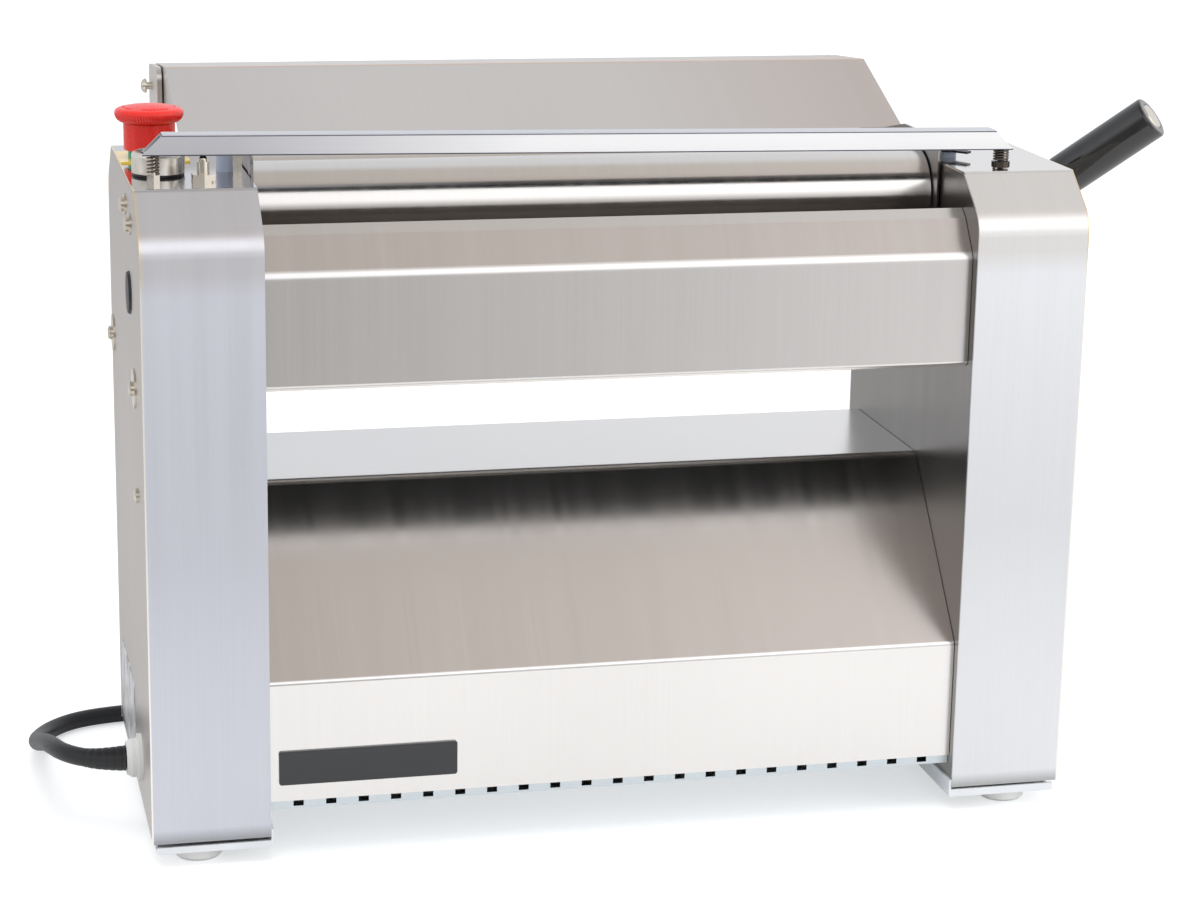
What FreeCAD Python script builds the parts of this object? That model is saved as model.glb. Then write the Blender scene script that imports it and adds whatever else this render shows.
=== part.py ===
import FreeCAD, Part
import math
import os

import Sketcher

# Bench-top pasta sheeter: two sheet-metal towers carry a pair of driven rollers.
# The machine frame has X along the rollers with 0 in the middle, Y from the tower
# fronts to the rear and Z up from the lower edge of the tower covers.
# At the end everything moves so that the origin is the middle of the footprint.

Vector = FreeCAD.Vector
doc = FreeCAD.newDocument("PastaSheeter")


# Sizes sheet: alias and value in millimetres, degrees or counts.
SIZES = (
    # towers
    ("MachineWidth", 550),
    ("TowerWidth", 68),
    ("TowerDepth", 222),
    ("TopHeight", 372.3),
    ("ShoulderDrop", 23.8),
    ("ShoulderHeight", "=TopHeight - ShoulderDrop"),
    ("SlantDepth", 30),
    ("SheetThickness", 1.5),
    ("ShoulderBend", 20),
    ("TopBend", 2.5),
    ("SmallBend", 2.2),
    ("SeatGap", 0.3),
    ("FitGap", 0.05),
    ("OuterPlateThickness", 2.5),
    ("FramePlateThickness", 5),
    ("FramePlateSetback", 10),
    ("TieFrontY", 40),
    ("TieLowZ", 25),
    ("TieRearSetback", 24),
    ("TieRearY", "=TowerDepth - TieRearSetback"),
    ("TieLowRearSetback", 42),
    ("TieLowRearY", "=TowerDepth - TieLowRearSetback"),
    ("TieFrontDrop", 87.3),
    ("TieFrontZ", "=TopHeight - TieFrontDrop"),
    ("TieRearDrop", 72.3),
    ("TieRearZ", "=TopHeight - TieRearDrop"),
    # base
    ("TrayDrop", 6.4),
    ("TrayInnerLip", 10.7),
    ("TrayOuterLip", 26.4),
    ("TraySetback", 0.5),
    ("FootDiameter", 28),
    ("FootHeight", 8.6),
    ("FootSide", 28),
    ("FootFrontY", 21),
    ("FootSetback", 21),
    ("FootRearY", "=TowerDepth - FootSetback"),
    # rollers
    ("RollerDiameter", 52.4),
    ("RollerBore", 36.4),
    ("RollerEndGap", 3.5),
    ("FrontRollerSetback", 121.3),
    ("FrontRollerY", "=TowerDepth - FrontRollerSetback"),
    ("RollerDrop", 22.8),
    ("RollerZ", "=TopHeight - RollerDrop"),
    ("RollerRestGap", 2.6),
    ("PlugLength", 25),
    ("RearJournalDiameter", 14),
    ("BushDiameter", 22),
    ("BushFlangeDiameter", 28),
    ("BushFlangeThickness", 2),
    # eccentric axle
    ("Eccentricity", 2.6),
    ("AxleDiameter", 18),
    ("AxleNeckDiameter", 14),
    ("RightJournalDiameter", 12),
    ("LeftJournalDiameter", 8.6),
    ("RollerNeckDiameter", 24),
    ("BracketThickness", 6),
    ("BracketAhead", 32.7),
    ("BracketBehind", 35.3),
    ("BracketToeAhead", 8.7),
    ("BracketToeBehind", 11.3),
    ("BracketToeDrop", 39.5),
    ("BracketFrontRise", 2.5),
    ("BracketRearRise", 6.5),
    ("StandoffDiameter", 12),
    ("StandoffLength", 15.5),
    # lever
    ("HubDiameter", 24),
    ("HubLength", 21.5),
    ("LeverBaseX", 16.5),
    ("LeverLength", 74.5),
    ("LeverOut", 0.647),
    ("LeverForward", 0.455),
    ("LeverUp", 0.610),
    ("StudDiameter", 10),
    ("StudHeadDiameter", 16.5),
    ("GripDiameter", 26.8),
    ("GripLength", 69),
    # chain drive
    ("ChainPitch", 8),
    ("ChainRollerDiameter", 5),
    ("ChainPlateHeight", 7.1),
    ("ChainPlateThickness", 1.3),
    ("ChainInnerWidth", 3.4),
    ("ToothWidth", 2.8),
    ("SprocketHubDiameter", 18),
    ("SprocketHubLength", 10),
    ("RollerTeeth", 12),
    ("OutputTeeth", 14),
    ("ChainPlaneX", 221.5),
    ("MotorSetback", 110),
    ("MotorY", "=TowerDepth - MotorSetback"),
    ("MotorZ", 85),
    ("IdlerSetback", 172),
    ("IdlerY", "=TowerDepth - IdlerSetback"),
    ("IdlerDrop", 62.3),
    ("IdlerZ", "=TopHeight - IdlerDrop"),
    ("IdlerPinDiameter", 12),
    ("OutputShaftDiameter", 16),
    ("ReducerDiameter", 90),
    ("ReducerLength", 118),
    ("MotorDiameter", 100),
    ("MotorLength", 200),
    # panels
    ("PanelTopY", 30.4),
    ("PanelTopDrop", 21.1),
    ("PanelTopZ", "=TopHeight - PanelTopDrop"),
    ("PanelFrontY", 8.5),
    ("PanelCreaseDrop", 25),
    ("PanelNoseDepth", 6.9),
    ("PanelNoseDrop", 4.8),
    ("PanelToeDepth", 3.5),
    ("PanelToeRise", 2.5),
    ("PanelBottomDrop", 112.1),
    ("PanelBottomZ", "=TopHeight - PanelBottomDrop"),
    ("HousingFrontY", 7),
    ("HousingSetback", 17),
    ("HousingRearY", "=TowerDepth - HousingSetback"),
    ("ShelfHeight", 187.6),
    ("ShelfFrontY", 90.6),
    ("CreaseHeight", 90),
    ("HousingBottomZ", 18.5),
    ("ShelfBend", 9),
    ("CreaseBend", 4),
    ("VentZ", 13),
    ("VentUpstand", 15),
    ("SlotPitch", 19),
    ("SlotWidth", 6),
    ("SlotHeight", 9),
    ("TieBarDiameter", 14),
    ("GuideFrontSetback", 154),
    ("GuideFrontY", "=TowerDepth - GuideFrontSetback"),
    ("GuideRearSetback", 32),
    ("GuideRearY", "=TowerDepth - GuideRearSetback"),
    ("GuideBottomDrop", 107.3),
    ("GuideBottomZ", "=TopHeight - GuideBottomDrop"),
    ("GuideRise", 13.7),
    ("GuideTopZ", "=TopHeight + GuideRise"),
    ("GuideCorner", 8),
    ("ScraperEdge", 2.3),
    ("ScraperFoot", 22.7),
    ("ScraperFootDrop", 47.5),
    ("ScraperLip", 16),
    # infeed chute
    ("ChuteHalfWidth", 232),
    ("TongueHalfWidth", 203),
    ("ChuteFoldReach", 73),
    ("ChuteFoldY", "=TowerDepth + ChuteFoldReach"),
    ("ChuteFoldRise", 33.1),
    ("ChuteFoldZ", "=TopHeight + ChuteFoldRise"),
    ("ChuteMouthSetback", 10),
    ("ChuteMouthY", "=TowerDepth - ChuteMouthSetback"),
    ("TongueSetback", 36),
    ("TongueTipY", "=TowerDepth - TongueSetback"),
    ("ChuteSlope", 0.404),
    ("ChuteRearReach", 133.6),
    ("ChuteRearY", "=TowerDepth + ChuteRearReach"),
    ("ChuteRearRise", 28.2),
    ("ChuteRearZ", "=TopHeight + ChuteRearRise"),
    ("ChuteReturn", 26),
    ("PivotReach", 140),
    ("PivotY", "=TowerDepth + PivotReach"),
    ("PivotRise", 12.7),
    ("PivotZ", "=TopHeight + PivotRise"),
    ("PivotDiameter", 5),
    ("PivotHeadDiameter", 9.5),
    ("PivotStandOff", 3),
    ("ArmThickness", 3),
    ("ArmGap", 1),
    ("ArmFootDrop", 102.3),
    ("ArmHeadDrop", 42.3),
    ("ArmNeckDrop", 4.3),
    ("ArmNeckSetback", 47),
    ("ArmFootDepth", 18),
    ("FlangeMargin", 4),
    ("GussetSetback", 30),
    ("TongueOverlap", 6),
    # safety bar
    ("BarLength", 513.1),
    ("BarCentreX", -11.75),
    ("BarSetback", 172),
    ("BarFrontY", "=TowerDepth - BarSetback"),
    ("BarDepth", 12),
    ("BarHeight", 12),
    ("BarRise", 12.35),
    ("BarBottomZ", "=TopHeight + BarRise"),
    ("BarLean", 0.68),
    ("PostX", 218.5),
    ("PostSetback", 133.2),
    ("PostY", "=TowerDepth - PostSetback"),
    ("PostDiameter", 9.6),
    ("PostHeadDiameter", 7.5),
    ("PostHeadHeight", 1.4),
    ("LugThickness", 1.2),
    ("LugRise", 5),
    ("LugWidth", 11),
    ("SeatPlateThickness", 1.2),
    ("SeatPlateWidth", 10),
    ("KeeperRise", 3.2),
    ("KeeperZ", "=TopHeight + KeeperRise"),
    ("KeeperThickness", 1.2),
    ("TabX", 214.9),
    ("TabWidth", 5),
    ("TabSetback", 167),
    ("TabY", "=TowerDepth - TabSetback"),
    ("TabRise", 20.5),
    ("BarScrewDiameter", 3.6),
    ("LeftSpringX", 261.8),
    ("LeftSpringSetback", 165.8),
    ("LeftSpringY", "=TowerDepth - LeftSpringSetback"),
    ("LeftSpringDiameter", 7.4),
    ("LeftSpringWire", 0.9),
    ("LeftSpringCurls", 5),
    ("LeftNutHeight", 4.1),
    ("NutAcrossFlats", 7),
    ("RightSpringX", 239.9),
    ("RightSpringSetback", 165),
    ("RightSpringY", "=TowerDepth - RightSpringSetback"),
    ("RightSpringDiameter", 9.6),
    ("RightSpringWire", 1.1),
    ("RightSpringCurls", 4),
    ("RightWasherHeight", 1.7),
    ("RightWasherDiameter", 11),
    # devices on the left tower
    ("SwitchX", 234.2),
    ("SwitchSetback", 168),
    ("SwitchY", "=TowerDepth - SwitchSetback"),
    ("PlungerDiameter", 4.6),
    ("PlungerRise", 14.95),
    ("PlungerTopZ", "=TopHeight + PlungerRise"),
    ("PlungerLength", 34),
    ("SwitchBodyHeight", 24),
    ("SwitchNutFlats", 12.4),
    ("SwitchNutHeight", 4.4),
    ("SwitchWasherDiameter", 13.4),
    ("SwitchWasherHeight", 0.9),
    ("SwitchBarrelDiameter", 8),
    ("SwitchSleeveDiameter", 6.8),
    ("SwitchSleeveRise", 11.4),
    ("StopX", 256.5),
    ("StopSetback", 84),
    ("StopY", "=TowerDepth - StopSetback"),
    ("StopHeadDiameter", 40),
    ("StopNeckRise", 21.7),
    ("StopHeadUnderZ", "=TopHeight + StopNeckRise"),
    ("StopHeadRise", 32.2),
    ("StopHeadTopZ", "=TopHeight + StopHeadRise"),
    ("StopSkirtDiameter", 30),
    ("StopRingDiameter", 25),
    ("StopTravel", 4),
    ("DeviceBarrelDiameter", 22),
    ("StopPlateWidth", 40.3),
    ("StopPlateDepth", 40),
    ("StopPlateThickness", 1),
    ("ButtonX", 256.7),
    ("ButtonSetback", 140.5),
    ("ButtonY", "=TowerDepth - ButtonSetback"),
    ("BezelDiameter", 30),
    ("BezelRise", 13.6),
    ("BezelTopZ", "=TopHeight + BezelRise"),
    ("BezelOpening", 25),
    ("SealHeight", 2.8),
    ("ButtonTravel", 2.5),
    ("BlockSide", 29),
    ("BlockHeight", 42),
    # side fittings
    ("PlugHoleY", 71),
    ("PlugHoleDrop", 65.3),
    ("PlugHoleZ", "=TopHeight - PlugHoleDrop"),
    ("PlugHoleDiameter", 25),
    ("TopScrewSetback", 136.2),
    ("TopScrewY", "=TowerDepth - TopScrewSetback"),
    ("TopScrewDrop", 17.3),
    ("TopScrewZ", "=TopHeight - TopScrewDrop"),
    ("ShoulderScrewY", 54.2),
    ("ShoulderScrewDrop", 23.1),
    ("ShoulderScrewZ", "=TopHeight - ShoulderScrewDrop"),
    ("RearScrewSetback", 18),
    ("RearScrewY", "=TowerDepth - RearScrewSetback"),
    ("RearScrewDrop", 117.3),
    ("RearScrewZ", "=TopHeight - RearScrewDrop"),
    ("FrontScrewY", 50),
    ("FrontScrewDrop", 116.3),
    ("FrontScrewZ", "=TopHeight - FrontScrewDrop"),
    ("LowScrewY", 42.1),
    ("LowScrewZ", 195.5),
    ("LabelFrontY", 105),
    ("LabelSetback", 23),
    ("LabelRearY", "=TowerDepth - LabelSetback"),
    ("LabelBottomZ", 11),
    ("LabelTopZ", 61),
    ("LabelThickness", 0.6),
    ("BadgeLeftX", 201.5),
    ("BadgeRightX", 97.3),
    ("BadgeBottomZ", 28.6),
    ("BadgeTopZ", 49),
    ("BadgeThickness", 1.8),
    ("GlandY", 64),
    ("GlandZ", 30),
    ("GlandReach", 9),
    ("CordDiameter", 10.8),
    ("CoilPitch", 11.6),
    ("CoilOuterRadius", 66),
    ("CoilX", 100),
    ("CoilTail", 36),
    ("PlugDiameter", 34),
    ("PlugBodyLength", 38),
)


class Size:
    """A length that carries its number and the formula that ties it to the sheet."""

    def __init__(self, number, formula):
        self.number = number
        self.formula = formula

    def __float__(self):
        return float(self.number)

    def __neg__(self):
        return Size(-self.number, f"(-{self.formula})")

    def __add__(self, other):
        return Size(self.number + float(other), f"({self.formula} + {formula_of(other)})")

    def __sub__(self, other):
        return Size(self.number - float(other), f"({self.formula} - {formula_of(other)})")

    def __mul__(self, other):
        return Size(self.number * float(other), f"({self.formula} * {formula_of(other)})")

    def __truediv__(self, other):
        return Size(self.number / float(other), f"({self.formula} / {formula_of(other)})")

    def __radd__(self, other):
        return Size(float(other) + self.number, f"({formula_of(other)} + {self.formula})")

    def __rsub__(self, other):
        return Size(float(other) - self.number, f"({formula_of(other)} - {self.formula})")

    def __rmul__(self, other):
        return Size(float(other) * self.number, f"({formula_of(other)} * {self.formula})")


def formula_of(value):
    """The sheet formula of a Size, or the plain number as text."""
    return value.formula if isinstance(value, Size) else repr(float(value))


def make_sheet():
    """Write the driving dimensions into the sheet, one row each."""
    sheet = doc.addObject("Spreadsheet::Sheet", "Sizes")
    for row, (alias, value) in enumerate(SIZES, start=1):
        sheet.set(f"A{row}", alias)
        sheet.set(f"B{row}", str(value))
        sheet.setAlias(f"B{row}", alias)
    doc.recompute()
    return sheet


class SheetSizes:
    """Reads the sheet: SIZE.TowerWidth is the Size in the cell of that alias."""

    def __init__(self, sheet):
        self.sheet = sheet

    def __getattr__(self, alias):
        return Size(float(self.sheet.get(alias)), f"Sizes.{alias}")


SIZE = SheetSizes(make_sheet())


# Sketch and feature helpers

def normal_axis(plane):
    """Number of the axis that a plane's name leaves out."""
    return ["X" in plane, "Y" in plane, "Z" in plane].index(False)


PLANE_ROLES = {"XY": "XY_Plane", "XZ": "XZ_Plane", "YZ": "YZ_Plane"}


def bind(thing, name, value):
    """Set a property to a value and tie it to the sheet where the value comes from there."""
    if isinstance(value, Size):
        thing.setExpression(name, value.formula)
    else:
        setattr(thing, name, float(value))


def new_body(label):
    body = doc.addObject("PartDesign::Body", label.title().replace("_", ""))
    body.Label = label
    return body


def sketch_on(body, plane, start):
    """A sketch on one of the body's own planes, moved to start along the plane's axis."""
    role = PLANE_ROLES[plane]
    support = next(item for item in body.Origin.OriginFeatures if item.Role == role)
    sketch = body.newObject("Sketcher::SketchObject", body.Name + "Sketch")
    sketch.AttachmentSupport = (support, [""])
    sketch.MapMode = "FlatFace"
    offset = -start if plane == "XZ" else start
    sketch.AttachmentOffset = FreeCAD.Placement(Vector(0, 0, float(offset)), FreeCAD.Rotation())
    if isinstance(offset, Size):
        sketch.setExpression("AttachmentOffset.Base.z", offset.formula)
    return sketch


def fix_point(sketch, geometry, point, place):
    """Hold a sketch point at its two coordinates."""
    for kind, axis, value in (("DistanceX", -2, place[0]), ("DistanceY", -1, place[1])):
        if abs(float(value)) < 1e-9:
            sketch.addConstraint(Sketcher.Constraint("PointOnObject", geometry, point, axis))
            continue
        index = sketch.addConstraint(Sketcher.Constraint(kind, -1, 1, geometry, point, float(value)))
        if isinstance(value, Size):
            sketch.setExpression(f"Constraints[{index}]", value.formula)


def draw_polygon(sketch, points):
    """A closed outline of straight lines with every corner held in place."""
    corners = [Vector(float(u), float(v), 0) for u, v in points]
    first = sketch.GeometryCount
    count = len(corners)
    for i in range(count):
        sketch.addGeometry(Part.LineSegment(corners[i], corners[(i + 1) % count]))
    for i in range(count):
        following = first + (i + 1) % count
        sketch.addConstraint(Sketcher.Constraint("Coincident", first + i, 2, following, 1))
    for i in range(count):
        fix_point(sketch, first + i, 1, points[i])


def draw_circle(sketch, centre, radius):
    middle = Vector(float(centre[0]), float(centre[1]), 0)
    index = sketch.addGeometry(Part.Circle(middle, Vector(0, 0, 1), float(radius)))
    fix_point(sketch, index, 3, centre)
    held = sketch.addConstraint(Sketcher.Constraint("Radius", index, float(radius)))
    if isinstance(radius, Size):
        sketch.setExpression(f"Constraints[{held}]", radius.formula)


def pad_sketch(body, sketch, plane, length):
    """Raise a sketch towards + of the plane's axis."""
    pad = body.newObject("PartDesign::Pad", body.Name + "Pad")
    pad.Profile = sketch
    bind(pad, "Length", length)
    pad.Reversed = plane == "XZ"
    doc.recompute()
    return pad


def pad_polygon(body, plane, start, length, points):
    sketch = sketch_on(body, plane, start)
    draw_polygon(sketch, points)
    return pad_sketch(body, sketch, plane, length)


def pad_circle(body, plane, start, length, centre, radius):
    sketch = sketch_on(body, plane, start)
    draw_circle(sketch, centre, radius)
    return pad_sketch(body, sketch, plane, length)


def pocket_sketch(body, sketch, depth=None, towards_plus=False, plane="XY"):
    """Cut a sketch right through both ways, or to a depth from its plane."""
    pocket = body.newObject("PartDesign::Pocket", body.Name + "Pocket")
    pocket.Profile = sketch
    if depth is None:
        pocket.Type = "ThroughAll"
        pocket.SideType = "Symmetric"
    else:
        bind(pocket, "Length", depth)
        pocket.Reversed = towards_plus != (plane == "XZ")
    doc.recompute()
    return pocket


def cut_polygon(body, plane, start, points, depth=None, towards_plus=False):
    sketch = sketch_on(body, plane, start)
    draw_polygon(sketch, points)
    return pocket_sketch(body, sketch, depth, towards_plus, plane)


def cut_circles(body, plane, start, circles, depth=None, towards_plus=False):
    """Cut round holes, each given as its centre and radius."""
    sketch = sketch_on(body, plane, start)
    for centre, radius in circles:
        draw_circle(sketch, centre, radius)
    return pocket_sketch(body, sketch, depth, towards_plus, plane)


def edges_at(shape, axis, corners):
    """Names of the straight edges along an axis that stand on the given corners."""
    names = []
    for number, edge in enumerate(shape.Edges, start=1):
        if edge.Curve.TypeId != "Part::GeomLine":
            continue
        if abs(abs(edge.tangentAt(edge.FirstParameter)[axis]) - 1) > 1e-6:
            continue
        middle = edge.CenterOfMass
        u, v = [middle[i] for i in range(3) if i != axis]
        if any(math.hypot(u - float(cu), v - float(cv)) < 0.01 for cu, cv in corners):
            names.append(f"Edge{number}")
    return names


def round_corners(body, plane, corners, radius):
    """Round the edges that a profile's corners left along the plane's axis."""
    base = body.Tip
    fillet = body.newObject("PartDesign::Fillet", body.Name + "Bends")
    fillet.Base = (base, edges_at(base.Shape, normal_axis(plane), corners))
    bind(fillet, "Radius", radius)
    doc.recompute()
    return fillet


def faces_at(shape, axis, values):
    """Names of the flat faces square to an axis at the given places."""
    names = []
    for number, face in enumerate(shape.Faces, start=1):
        if face.Surface.TypeId != "Part::GeomPlane":
            continue
        if abs(abs(face.normalAt(0, 0)[axis]) - 1) > 1e-6:
            continue
        if any(abs(face.CenterOfMass[axis] - float(value)) < 0.01 for value in values):
            names.append(f"Face{number}")
    return names


def fold_sheet(body, open_faces, thickness):
    """Turn a solid into bent sheet of one thickness, open at the named faces."""
    base = body.Tip
    fold = body.newObject("PartDesign::Thickness", body.Name + "Sheet")
    fold.Base = (base, open_faces)
    bind(fold, "Value", thickness)
    fold.Reversed = True
    doc.recompute()
    return fold


def turned(label, profile, base, axis):
    """Revolve a profile of (radius, height) points about an axis through a base point."""
    body = new_body(label)
    sketch = sketch_on(body, "XZ", 0)
    draw_polygon(sketch, profile)
    turn = body.newObject("PartDesign::Revolution", body.Name + "Turn")
    turn.Profile = sketch
    turn.ReferenceAxis = (sketch, ["V_Axis"])
    turn.Angle = 360
    body.Placement = FreeCAD.Placement(point(*base), FreeCAD.Rotation(Vector(0, 0, 1), axis))
    doc.recompute()
    return body


def point(x, y, z):
    return Vector(float(x), float(y), float(z))


def cylinder(label, base, axis, radius, length):
    """A plain round bar from a base point along an axis."""
    bar = doc.addObject("Part::Cylinder", label.title().replace("_", ""))
    bar.Label = label
    bind(bar, "Radius", radius)
    bind(bar, "Height", length)
    bar.Placement = FreeCAD.Placement(point(*base), FreeCAD.Rotation(Vector(0, 0, 1), axis))
    doc.recompute()
    return bar


def fuse(label, members):
    joined = doc.addObject("Part::MultiFuse", label.title().replace("_", ""))
    joined.Label = label
    joined.Shapes = members
    joined.Refine = True
    doc.recompute()
    return joined


def group(label, members):
    """Separate solids of one kind that share a node."""
    together = doc.addObject("Part::Compound", label.title().replace("_", ""))
    together.Label = label
    together.Links = members
    doc.recompute()
    return together


def shaped(label, shape):
    feature = doc.addObject("Part::Feature", label.title().replace("_", ""))
    feature.Label = label
    feature.Shape = shape
    return feature


def offset_path(points, distance, closed):
    """Move a path of straight lines sideways, to its left for a plus distance, with mitred corners."""
    flat = [(float(u), float(v)) for u, v in points]
    count = len(flat)
    moved = []
    for i, (u, v) in enumerate(flat):
        normals = []
        if closed or i > 0:
            normals.append(left_normal(flat[i - 1], flat[i]))
        if closed or i < count - 1:
            normals.append(left_normal(flat[i], flat[(i + 1) % count]))
        (au, av), (bu, bv) = normals[0], normals[-1]
        scale = distance / (1 + au * bu + av * bv)
        moved.append((u + (au + bu) * scale, v + (av + bv) * scale))
    return moved


def left_normal(start, end):
    du, dv = end[0] - start[0], end[1] - start[1]
    length = math.hypot(du, dv)
    return -dv / length, du / length


def strip(points, thickness):
    """Outline of a sheet that follows a path and lies to the path's right."""
    return list(points) + offset_path(points, -float(thickness), False)[::-1]


# Shared places

HALF = SIZE.MachineWidth / 2
INNER = HALF - SIZE.TowerWidth
SHEET = SIZE.SheetThickness
CHEEK_OUTER = INNER + SHEET
FRAME_OUTER = CHEEK_OUTER + SIZE.FramePlateThickness
PANEL_HALF = INNER - SIZE.SeatGap
TRAY_FLOOR = SHEET - SIZE.TrayDrop
FLOOR = -SIZE.TrayDrop - SIZE.FootHeight
COVER_UNDER = SIZE.TopHeight - SHEET
REAR_ROLLER_Y = SIZE.FrontRollerY + SIZE.RollerDiameter + SIZE.RollerRestGap
HUB_AXIS = (SIZE.FrontRollerY, SIZE.RollerZ + SIZE.Eccentricity)
FRONT_AXIS = (SIZE.FrontRollerY, SIZE.RollerZ)
REAR_AXIS = (REAR_ROLLER_Y, SIZE.RollerZ)
MOTOR_AXIS = (SIZE.MotorY, SIZE.MotorZ)
IDLER_AXIS = (SIZE.IdlerY, SIZE.IdlerZ)
ROLLER_HALF = INNER - SIZE.RollerEndGap
NECK_HOLE = SIZE.RollerNeckDiameter / 2 + SIZE.Eccentricity + 2 * SIZE.SeatGap
TIE_BAR_PLACES = (
    (SIZE.TieFrontY, SIZE.TieFrontZ),
    (SIZE.TieRearY, SIZE.TieRearZ),
    (SIZE.TieFrontY, SIZE.TieLowZ),
    (SIZE.TieLowRearY, SIZE.TieLowZ),
)
OUTPUT_SHAFT_DEPTH = 18
POST_SCREW = 2
STOP_SKIRT_CLEARANCE = 0.5
STOP_CORE = 5
BUTTON_CORE = 5
COIL_FRONT_Y = 248
DIRECTION = {-1: Vector(-1, 0, 0), 1: Vector(1, 0, 0)}
UP = Vector(0, 0, 1)


def tower_start(side, inner, outer):
    """Lower X of a slab that spans inner to outer on one side of the machine."""
    return inner if side > 0 else -outer


def cover_outline():
    return [
        (0, 0),
        (0, SIZE.ShoulderHeight),
        (SIZE.SlantDepth, SIZE.TopHeight),
        (SIZE.TowerDepth - SIZE.SlantDepth, SIZE.TopHeight),
        (SIZE.TowerDepth, SIZE.ShoulderHeight),
        (SIZE.TowerDepth, 0),
    ]


def plate_outline():
    """The cover's outline drawn in by its sheet and the seat gap."""
    return offset_path(cover_outline(), -float(SHEET + SIZE.SeatGap), True)


# Towers

def top_holes(side):
    """Holes that the devices, posts and bar screws need in a tower top."""
    holes = [((side * SIZE.PostX, SIZE.PostY), SIZE.PostDiameter / 2 + 4 * SIZE.FitGap)]
    if side < 0:
        device_hole = SIZE.DeviceBarrelDiameter / 2 + 4 * SIZE.FitGap
        barrel_hole = SIZE.SwitchBarrelDiameter / 2 + 2 * SIZE.FitGap
        screw_hole = SIZE.BarScrewDiameter / 2 + 4 * SIZE.FitGap
        holes.append(((-SIZE.StopX, SIZE.StopY), device_hole))
        holes.append(((-SIZE.ButtonX, SIZE.ButtonY), device_hole))
        holes.append(((-SIZE.SwitchX, SIZE.SwitchY), barrel_hole))
        holes.append(((-SIZE.LeftSpringX, SIZE.LeftSpringY), screw_hole))
    else:
        screw_hole = SIZE.BarScrewDiameter / 2 + 4 * SIZE.FitGap
        holes.append(((SIZE.RightSpringX, SIZE.RightSpringY), screw_hole))
    return holes


def tower_cover(label, side):
    """One bent sheet: front, front slant, top, rear slant and rear."""
    body = new_body(label)
    outline = cover_outline()
    start = tower_start(side, INNER, HALF)
    pad_polygon(body, "YZ", start, SIZE.TowerWidth, outline)
    round_corners(body, "YZ", [outline[1], outline[4]], SIZE.ShoulderBend)
    round_corners(body, "YZ", [outline[2], outline[3]], SIZE.TopBend)
    shape = body.Tip.Shape
    ends = faces_at(shape, 0, [start, start + SIZE.TowerWidth])
    fold_sheet(body, ends + faces_at(shape, 2, [0]), SHEET)
    cut_circles(body, "XY", SIZE.TopHeight, top_holes(side), 3 * SHEET)
    return body


SCREW_PLACES = (
    (SIZE.TopScrewY, SIZE.TopScrewZ, 6),
    (SIZE.ShoulderScrewY, SIZE.ShoulderScrewZ, 6),
    (SIZE.RearScrewY, SIZE.RearScrewZ, 11.5),
    (SIZE.FrontScrewY, SIZE.FrontScrewZ, 11.5),
    (SIZE.LowScrewY, SIZE.LowScrewZ, 0),
)
SCREW_HOLE = 2.6
SCREW_HEAD_RADIUS = 4.2
SCREW_HEAD_HEIGHT = 2.6
SCREW_WASHER = 1.2
SCREW_REACH = 3.5
GLAND_SPIGOT = 8


def screw_places(side):
    """Places of the plate screws: on the right the lever hub takes the first one's place."""
    return SCREW_PLACES if side < 0 else SCREW_PLACES[1:]


def outer_plate(side):
    """Side plate that closes the outer end of a tower."""
    body = new_body("left_outer_plate" if side < 0 else "right_outer_plate")
    outline = plate_outline()
    start = tower_start(side, HALF - SIZE.OuterPlateThickness, HALF)
    pad_polygon(body, "YZ", start, SIZE.OuterPlateThickness, outline)
    bend = SIZE.ShoulderBend - SHEET - SIZE.SeatGap
    round_corners(body, "YZ", [outline[1], outline[4]], bend)
    holes = [((y, z), SCREW_HOLE) for y, z, washer in screw_places(side)]
    if side < 0:
        holes.append(((SIZE.PlugHoleY, SIZE.PlugHoleZ), SIZE.PlugHoleDiameter / 2 - 2.4))
        holes.append(((SIZE.GlandY, SIZE.GlandZ), GLAND_SPIGOT + SIZE.FitGap))
    else:
        holes.append((HUB_AXIS, SIZE.RightJournalDiameter / 2 + SIZE.SeatGap))
    cut_circles(body, "YZ", start, holes)
    return body


def inner_cheek(side):
    """Thin sheet that is the visible inner face of a tower."""
    body = new_body("left_cheek" if side < 0 else "right_cheek")
    outline = plate_outline()
    start = tower_start(side, INNER, CHEEK_OUTER)
    pad_polygon(body, "YZ", start, SHEET, outline)
    bend = SIZE.ShoulderBend - SHEET - SIZE.SeatGap
    round_corners(body, "YZ", [outline[1], outline[4]], bend)
    holes = [(place, SIZE.TieBarDiameter / 2 + SIZE.FitGap) for place in TIE_BAR_PLACES]
    holes.append((REAR_AXIS, SIZE.BushDiameter / 2 + SIZE.FitGap))
    if side < 0:
        holes.append((HUB_AXIS, NECK_HOLE))
        holes.append((MOTOR_AXIS, SIZE.ReducerDiameter / 2 + SIZE.SeatGap))
    else:
        holes.append((HUB_AXIS, SIZE.RightJournalDiameter / 2 + 1))
    cut_circles(body, "YZ", start, holes)
    return body


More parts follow.
